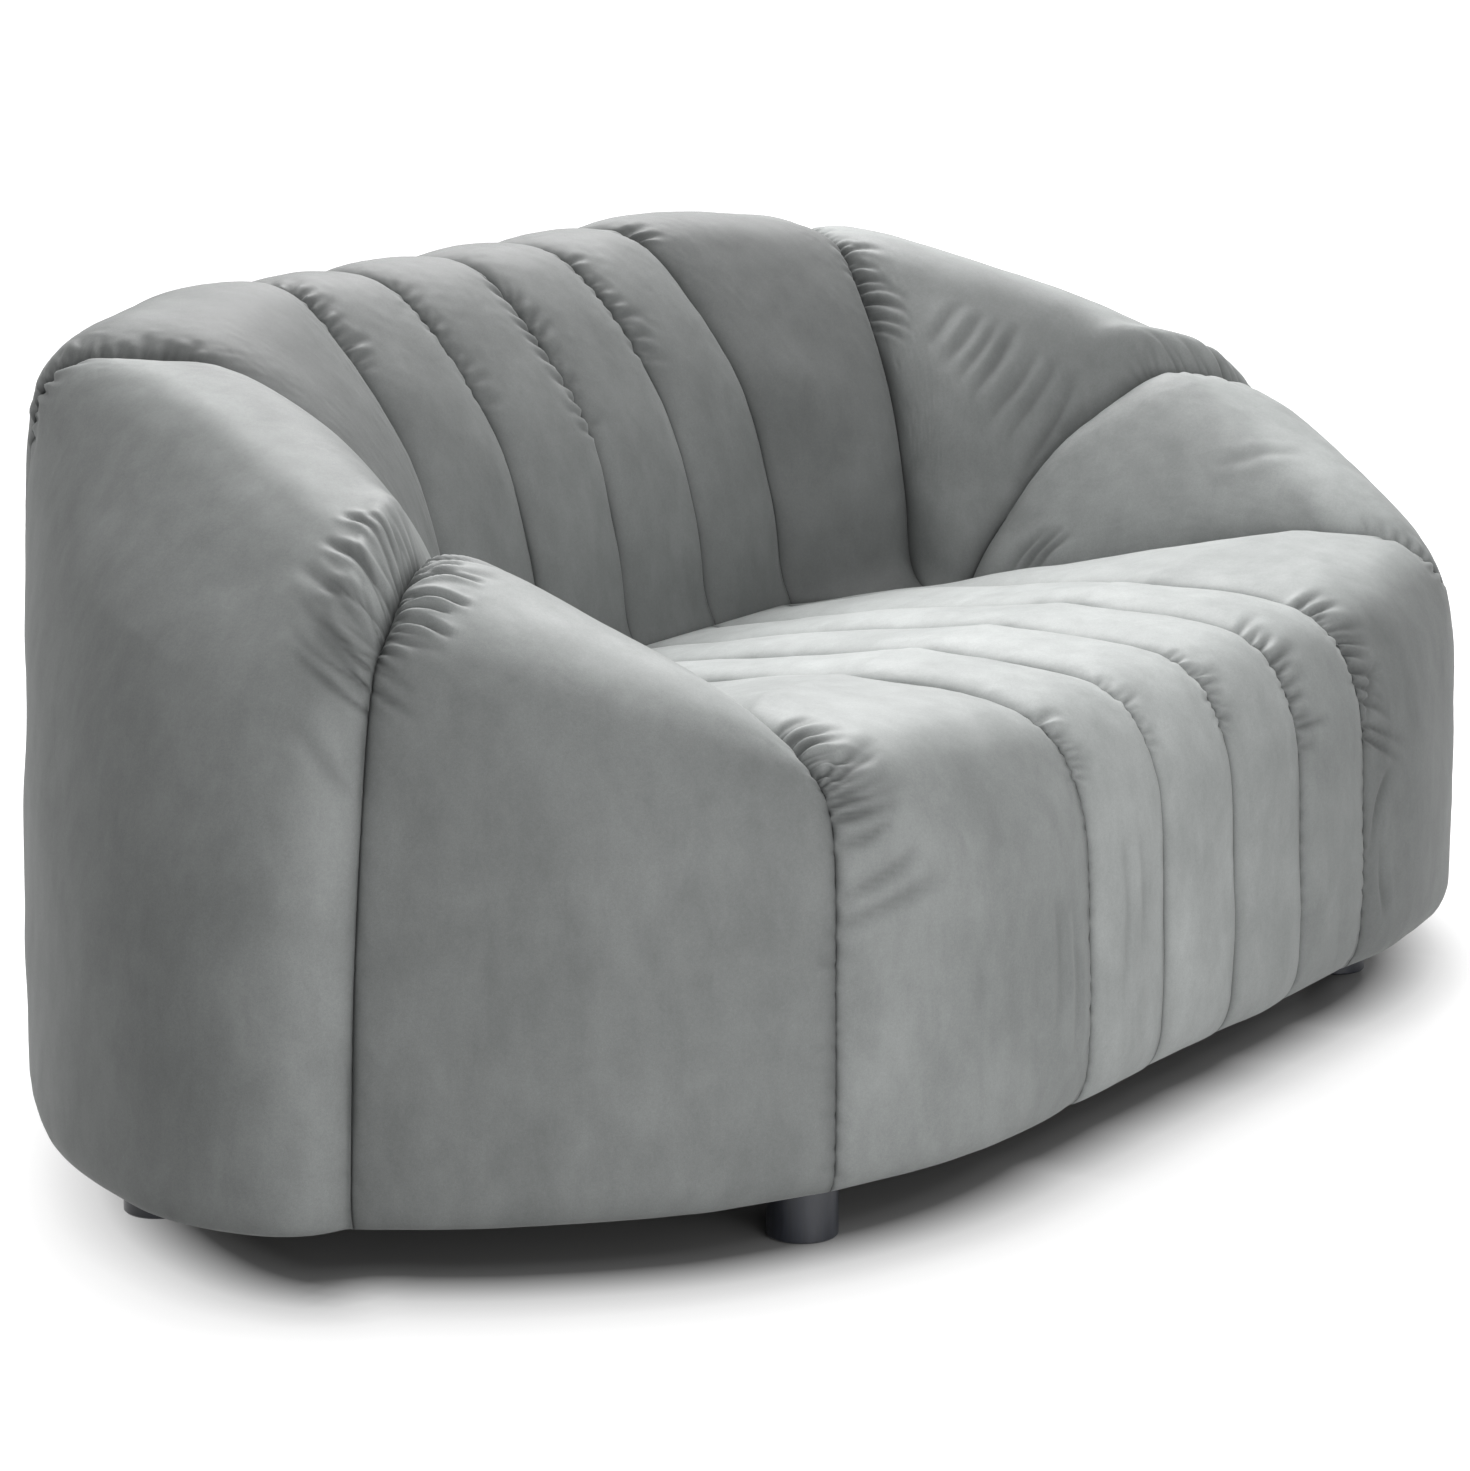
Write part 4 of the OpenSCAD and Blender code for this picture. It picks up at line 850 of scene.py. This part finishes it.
# Pleats at the seams: pad, seam, from u, to u, how many, length, depth, and lean and bow if any
GATHERS = [
    ("arm_rear_pad_left", "a", 0.37, 0.51, 9, 40, 2.0, -10, -6),
    ("arm_rear_pad_left", "a", 0.51, 0.66, 8, 56, 2.6, -34, -10),
    ("arm_rear_pad_left", "a", 0.16, 0.33, 6, 30, 1.8),
    ("arm_front_pad_left", "b", 0.37, 0.46, 5, 50, 3.0, -26),
    ("arm_front_pad_left", "b", 0.47, 0.55, 6, 50, 3.0, 4),
    ("arm_front_pad_left", "b", 0.54, 0.64, 5, 42, 2.4, 10),
    ("arm_front_pad_left", "b", 0.16, 0.34, 6, 26, 1.6),
    ("back_end_pad_left", "a", 0.34, 0.53, 14, 27, 2.8, 2),
    ("arm_rear_pad_left", "b", 0.50, 0.66, 7, 26, 2.6, -6),
    ("arm_rear_pad_left", "b", 0.20, 0.50, 14, 20, 1.4),
    ("back_end_pad_left", "a", 0.53, 0.66, 7, 27, 2.8),
    ("back_end_pad_left", "b", 0.24, 0.39, 13, 17, 2.4, 4),
    ("back_channel_pad_1", "b", 0.23, 0.39, 14, 23, 3.2, 5),
    ("back_channel_pad_1", "a", 0.19, 0.33, 11, 13, 1.6, 3),
    ("back_channel_pad_2", "b", 0.18, 0.32, 12, 16, 2.0, 4),
    ("back_channel_pad_2", "a", 0.14, 0.29, 10, 23, 2.8, 14),
    ("back_channel_pad_3", "b", 0.15, 0.28, 9, 18, 2.2, 12),
    ("back_channel_pad_3", "a", 0.20, 0.34, 9, 16, 1.9, 4),
    ("back_channel_pad_4", "b", 0.19, 0.31, 10, 21, 2.5, -8),
    ("back_channel_pad_4", "a", 0.30, 0.38, 6, 17, 2.0, 4),
    ("back_end_pad_right", "b", 0.32, 0.37, 5, 20, 2.4, -6),
    ("back_end_pad_right", "a", 0.26, 0.52, 13, 20, 1.6),
    ("arm_rear_pad_right", "b", 0.21, 0.36, 9, 34, 3.0, -10, -8),
    ("arm_rear_pad_right", "b", 0.36, 0.56, 9, 22, 1.8),
    ("arm_rear_pad_right", "a", 0.30, 0.42, 7, 22, 1.8, -8),
    ("arm_rear_pad_right", "a", 0.42, 0.62, 10, 44, 2.8, -18, -8),
    ("arm_front_pad_right", "b", 0.38, 0.60, 10, 40, 2.4, 4),
    ("seat_end_pad_left", "b", 0.455, 0.575, 10, 41, 4.1, 14, 6),
    ("seat_end_pad_left", "b", 0.575, 0.66, 6, 52, 4.0, 4, -6),
    ("arm_front_pad_left", "a", 0.46, 0.62, 7, 16, 1.3),
    ("seat_channel_pad_1", "a", 0.545, 0.645, 9, 19, 2.8, 5),
    ("seat_end_pad_left", "a", 0.54, 0.64, 8, 14, 1.5),
    ("seat_channel_pad_2", "a", 0.53, 0.64, 8, 23, 2.8, -4),
    ("seat_channel_pad_1", "b", 0.54, 0.64, 8, 13, 1.5),
    ("seat_channel_pad_3", "a", 0.53, 0.65, 11, 20, 2.9, 5),
    ("seat_channel_pad_2", "b", 0.53, 0.65, 10, 16, 2.0),
    ("seat_channel_pad_4", "a", 0.53, 0.69, 10, 36, 3.5, -6),
    ("seat_channel_pad_3", "b", 0.54, 0.66, 9, 16, 1.8),
    ("seat_end_pad_right", "a", 0.52, 0.62, 9, 41, 4.0, 2),
    ("seat_end_pad_right", "a", 0.62, 0.70, 5, 59, 4.1, 18, 10),
    ("seat_channel_pad_4", "b", 0.54, 0.67, 10, 17, 1.9),
    ("seat_end_pad_right", "b", 0.50, 0.64, 9, 29, 2.5),
    ("arm_front_pad_right", "a", 0.46, 0.58, 5, 24, 2.2, -4),
    ("arm_rear_pad_left", "a", 0.68, 0.90, 12, 13, 1.0, -3),
    ("arm_front_pad_left", "b", 0.66, 0.90, 13, 12, 1.0, 3),
    ("arm_front_pad_left", "a", 0.63, 0.88, 13, 14, 1.2, -3),
    ("seat_end_pad_left", "b", 0.70, 0.90, 11, 15, 1.2, 3),
    ("seat_end_pad_right", "a", 0.72, 0.90, 10, 13, 1.1, 3),
    ("seat_channel_pad_4", "b", 0.68, 0.90, 12, 10, 0.9),
    ("seat_channel_pad_4", "a", 0.70, 0.90, 11, 10, 0.9),
    ("seat_channel_pad_1", "a", 0.66, 0.90, 13, 9, 0.9),
    ("seat_end_pad_left", "a", 0.66, 0.90, 12, 9, 0.8),
    ("arm_rear_pad_right", "a", 0.64, 0.90, 13, 14, 1.1),
    ("arm_front_pad_right", "b", 0.62, 0.90, 14, 14, 1.1),
]
for n, (name, *pleats) in enumerate(GATHERS):
    pads[name].gathers(*pleats, seed=300 + n)

# Painted light and shade, pad by pad: the back and the insides of the arms darker and the seat
# lighter, as the light falls: the tone inside, the tone outside, and how much lighter the top is
PAINTED_TONES = {"back_channel": (0.59, 0.74, -0.28), "back_end": (0.46, 0.74, -0.18),
       "arm_rear": (0.66, 0.95, 0.0), "arm_front": (0.56, 0.80, 0.50),
       "seat_end_pad_left": (1.0, 1.0, 0.36), "seat_end_pad_right": (0.76, 0.76, 0.62),
       "seat_channel_pad_1": (1.40, 1.40, 0.06), "seat_channel_pad_2": (1.48, 1.48, 0.0),
       "seat_channel_pad_3": (1.34, 1.34, 0.08), "seat_channel_pad_4": (1.11, 1.11, 0.28)}
for pad in pads.values():
    pad.build(VELVET, "velvet", by_name(PAINTED_TONES, pad.name))


def outline_points(inward):
    """The frame's outline on the right side, from the front to the rear, a distance inside."""
    front, *corner, rear = [(s.origin, plan_at(s, s.line[4] - WRAP_T)) for s in
                            (seat_seam(2), FRONT_SEAM, ARM_SEAM, REAR_SEAM, back_seam(2))]
    corner.insert(2, (CORNER, SIDE_KNOT))
    return [knot - (knot - centre) / np.linalg.norm(knot - centre) * inward
            for centre, knot in (front, *corner, rear)]


def both_sides(points):
    """The closed outline of both halves, from that of the right half."""
    return [tuple(p) for p in points] + [(-p[0], p[1]) for p in points[::-1]]


def foam_slab():
    """The foam on the seat springs, which reaches under the back pads."""
    rear = (2 * BACK_W, PLAN_Y + BACK_LINE[0] + BACK_PAD_T)
    side = outline_points(PAD_GAP)[:2] + [CORNER, np.array(rear)]
    loop = both_sides(side)
    n = len(loop)
    points = [(x / 1000, y / 1000, z / 1000) for z in (FOAM_Z, FOAM_Z + FOAM_T) for x, y in loop]
    faces = [range(n)[::-1], range(n, 2 * n)]
    faces += [[i, (i + 1) % n, n + (i + 1) % n, n + i] for i in range(n)]
    obj = new_object("seat_foam_slab", points, faces)
    bevel = obj.modifiers.new("edge", "BEVEL")
    bevel.width = 0.006
    bevel.segments = 3
    depsgraph = bpy.context.evaluated_depsgraph_get()
    done = bpy.data.meshes.new_from_object(obj.evaluated_get(depsgraph))
    obj.modifiers.clear()
    obj.data = done
    done.materials.append(FOAM)
    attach(obj, "root")
    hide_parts("seat_foam")


def away_from(loop, points):
    """How far points are outside a closed loop; below 0 inside it."""
    best = np.full(len(points), 1e9)
    crossings = np.zeros(len(points), bool)
    for p, q in zip(loop, np.roll(loop, -1, axis=0)):
        d = q - p
        if d @ d < 1e-12:
            continue
        f = np.clip((points - p) @ d / (d @ d), 0, 1)
        best = np.minimum(best, np.linalg.norm(points - p - f[:, None] * d, axis=1))
        spans = (p[1] > points[:, 1]) != (q[1] > points[:, 1])
        if abs(d[1]) > 1e-12:
            crossings ^= spans & (points[:, 0] < p[0] + (points[:, 1] - p[1]) / d[1] * d[0])
    return np.where(crossings, -best, best)


def dust_sheet():
    """The cloth under the frame, as a thin closed sheet of triangles."""
    loop = both_sides(outline_points(COVER_INSET))
    edge = []
    for (x0, y0), (x1, y1) in zip(loop, loop[1:] + loop[:1]):
        steps = max(1, int(math.hypot(x1 - x0, y1 - y0) / COVER_GRID))
        edge += [(mix(x0, x1, k / steps), mix(y0, y1, k / steps)) for k in range(steps)]
    shrunk = np.array(both_sides(outline_points(COVER_INSET + 15)))
    spots = np.array([(x, y) for x in range(-900, 901, COVER_GRID)
                      for y in range(-540, 541, COVER_GRID)])
    points = [Vector(p) for p in edge + spots[away_from(shrunk, spots) < 0].tolist()]
    ring = [(i, (i + 1) % len(edge)) for i in range(len(edge))]
    verts, _, faces, *_ = delaunay_2d_cdt(points, ring, [], 1, 1e-4)
    flat = np.array([tuple(v) for v in verts])
    # The cloth is stretched over the rails, and sinks a little between them
    edge_points = np.array(edge)
    away = np.array([np.min(np.linalg.norm(edge_points - p, axis=1)) for p in flat])
    sag = COVER_SAG * ramp(20, 300, away)
    sag += 0.5 * np.sin(flat[:, 0] / 21) * np.sin(flat[:, 1] / 33 + 1) * ramp(10, 60, away)
    top = np.column_stack([flat, BASE_H + COVER_T - sag])
    low = np.column_stack([flat, BASE_H + COVER_LOW - sag])
    n = len(flat)
    tris, area = [], 0.0
    for a, b, c in faces:
        double = np.cross(flat[b] - flat[a], flat[c] - flat[a])
        tris.append((a, b, c) if double > 0 else (a, c, b))
        area += abs(double) / 2e6
    sides = [(f[k], f[(k + 1) % 3]) for f in tris for k in range(3)]
    known = set(sides)
    rim = [(a, b) for a, b in sides if (b, a) not in known]
    faces_all = [list(f) for f in tris] + [[v + n for v in f[::-1]] for f in tris]
    faces_all += [[b, a, a + n, b + n] for a, b in rim]
    obj = new_object("dust_cover_sheet", np.vstack([top, low]) / 1000, faces_all)
    obj.data.materials.append(CLOTH)
    obj.data.polygons.foreach_set("use_smooth", [True] * len(faces_all))
    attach(obj, "root")
    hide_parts("dust_cover")


foam_slab()
dust_sheet()

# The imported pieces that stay, by a part of their names
FINISHES = {"rail": TIMBER, "rib": TIMBER, "brace": TIMBER, "foot_blocks": TIMBER,
            "springs": STEEL, "foot_bolts": STEEL, "spring_clips": CLIP, "foot_glides": GLIDE,
            "foot_": LACQUER}
for name, obj in nodes.items():
    finish = next((f for part, f in FINISHES.items() if part in name), None)
    if finish:
        for spot in obj.material_slots:
            spot.material = finish

# Floor, world and lamps. The floor's grid is fine near the sofa, in metres
FLOOR_FINE, FLOOR_EDGE, FLOOR_STEPS = 1.4, 30.0, 141
# The painted shadow's outline is moved aside by this, in metres
PAINTED_SHADOW_SHIFT = (0.03, -0.01)
# Painted shadow: how white the floor's glow is by its distance in metres from the sofa's outline,
# below 0 under it
PAINTED_SHADOW_EDGE = [(-0.125, 0.0), (-0.09, 0.03), (-0.055, 0.30), (-0.02, 0.60), (0.03, 0.83),
               (0.11, 1.0)]
WHITE = (1, 1, 1, 1)


def footprint():
    """The sofa's outline in plan, in metres: the widest ring of the pads, as a closed loop."""
    ring = []
    for pad in pads.values():
        row = int(np.searchsorted(pad.u, 0.9))
        side = -1.0 if pad.left else 1.0
        ring += [(side * x / 1000, y / 1000) for x, y, _ in pad.p[row]]
    ring = np.array(ring)
    return ring[np.argsort(np.arctan2(ring[:, 1], ring[:, 0]))]


def shows_itself(tree):
    """A socket that is 1 for rays of the camera, of reflections and through glass, otherwise 0."""
    rays = tree.nodes.new("ShaderNodeLightPath").outputs
    socket = rays["Is Camera Ray"]
    for kind in ("Is Glossy Ray", "Is Transmission Ray"):
        either = tree.nodes.new("ShaderNodeMath")
        either.operation = "MAXIMUM"
        tree.links.new(socket, either.inputs[0])
        tree.links.new(rays[kind], either.inputs[1])
        socket = either.outputs[0]
    return socket


def floor_paper():
    """White paper away from the sofa; towards it the paper's glow fades out in a painted shadow,
    and under it only the lamps' light shows.
    """
    m = Nodes("studio_paper")
    m.set(Base_Color=grey(0.26), Roughness=0.4, Specular_IOR_Level=0.2, Emission_Color=WHITE)
    near_end, far_end = PAINTED_SHADOW_EDGE[0][0], PAINTED_SHADOW_EDGE[-1][0]
    place = m.add("ShaderNodeMapRange", From_Min=near_end, From_Max=far_end)
    m.link(m.attribute("away").outputs["Fac"], place.inputs["Value"])
    stops = [((away - near_end) / (far_end - near_end), grey(white)) for away, white in PAINTED_SHADOW_EDGE]
    # The glow fades in along the painted shadow's edge
    painted_shadow_fade = m.ramp(place.outputs["Result"], stops)
    m.set(Emission_Strength=m.math("MULTIPLY", shows_itself(m.tree), painted_shadow_fade))
    return m.material


def studio_floor():
    lines = np.concatenate([[-FLOOR_EDGE], np.linspace(-FLOOR_FINE, FLOOR_FINE, FLOOR_STEPS),
                            [FLOOR_EDGE]])
    gx, gy = np.meshgrid(lines, lines)
    spots = np.column_stack([gx.reshape(-1), gy.reshape(-1)])
    floor = new_object("studio_floor", np.column_stack([spots, np.zeros(len(spots))]),
                       grid_faces(len(lines), len(lines))[:, ::-1])
    store(floor.data, "away", away_from(footprint() + np.array(PAINTED_SHADOW_SHIFT), spots))
    floor.data.materials.append(floor_paper())


def studio_world():
    """Dim light all round, and plain white where the world itself is seen."""
    world = bpy.data.worlds.new("studio")
    scene.world = world
    world.use_nodes = True
    tree = world.node_tree
    dim = tree.nodes["Background"]
    dim.inputs["Color"].default_value = (0.03, 0.03, 0.031, 1)
    dim.inputs["Strength"].default_value = 1.0
    white = tree.nodes.new("ShaderNodeBackground")
    white.inputs["Color"].default_value = WHITE
    blend = tree.nodes.new("ShaderNodeMixShader")
    tree.links.new(shows_itself(tree), blend.inputs["Fac"])
    tree.links.new(dim.outputs[0], blend.inputs[1])
    tree.links.new(white.outputs[0], blend.inputs[2])
    out = next(n for n in tree.nodes if n.type == "OUTPUT_WORLD")
    tree.links.new(blend.outputs[0], out.inputs["Surface"])


def lamp(name, place, aim, size, power):
    """A lamp that the camera doesn't see: its place, aim and size in metres, power in watts."""
    data = bpy.data.lights.new(name, "AREA")
    data.shape = "RECTANGLE"
    data.size, data.size_y = size
    data.energy = power
    obj = bpy.data.objects.new(name, data)
    obj.location = place
    obj.rotation_euler = (Vector(aim) - Vector(place)).to_track_quat("-Z", "Y").to_euler()
    obj.visible_camera = False
    scene.collection.objects.link(obj)


studio_floor()
studio_world()
lamp("key_softbox", (1.9, 1.3, 2.9), (0, 0, 0.3), (2.0, 2.0), 128)
lamp("rear_softbox", (-1.8, 2.4, 2.6), (0, 0, 0.4), (1.6, 1.2), 25)
lamp("left_softbox", (-2.4, -2.6, 1.2), (0, 0, 0.3), (1.6, 1.2), 31)
lamp("seat_softbox", (0.2, -0.5, 2.4), (0.1, -0.3, 0.3), (1.6, 0.8), 16)
lamp("front_card", (-1.0, -3.0, 0.4), (0, 0, 0.2), (2.0, 0.7), 22)

scene.view_settings.view_transform = "Standard"
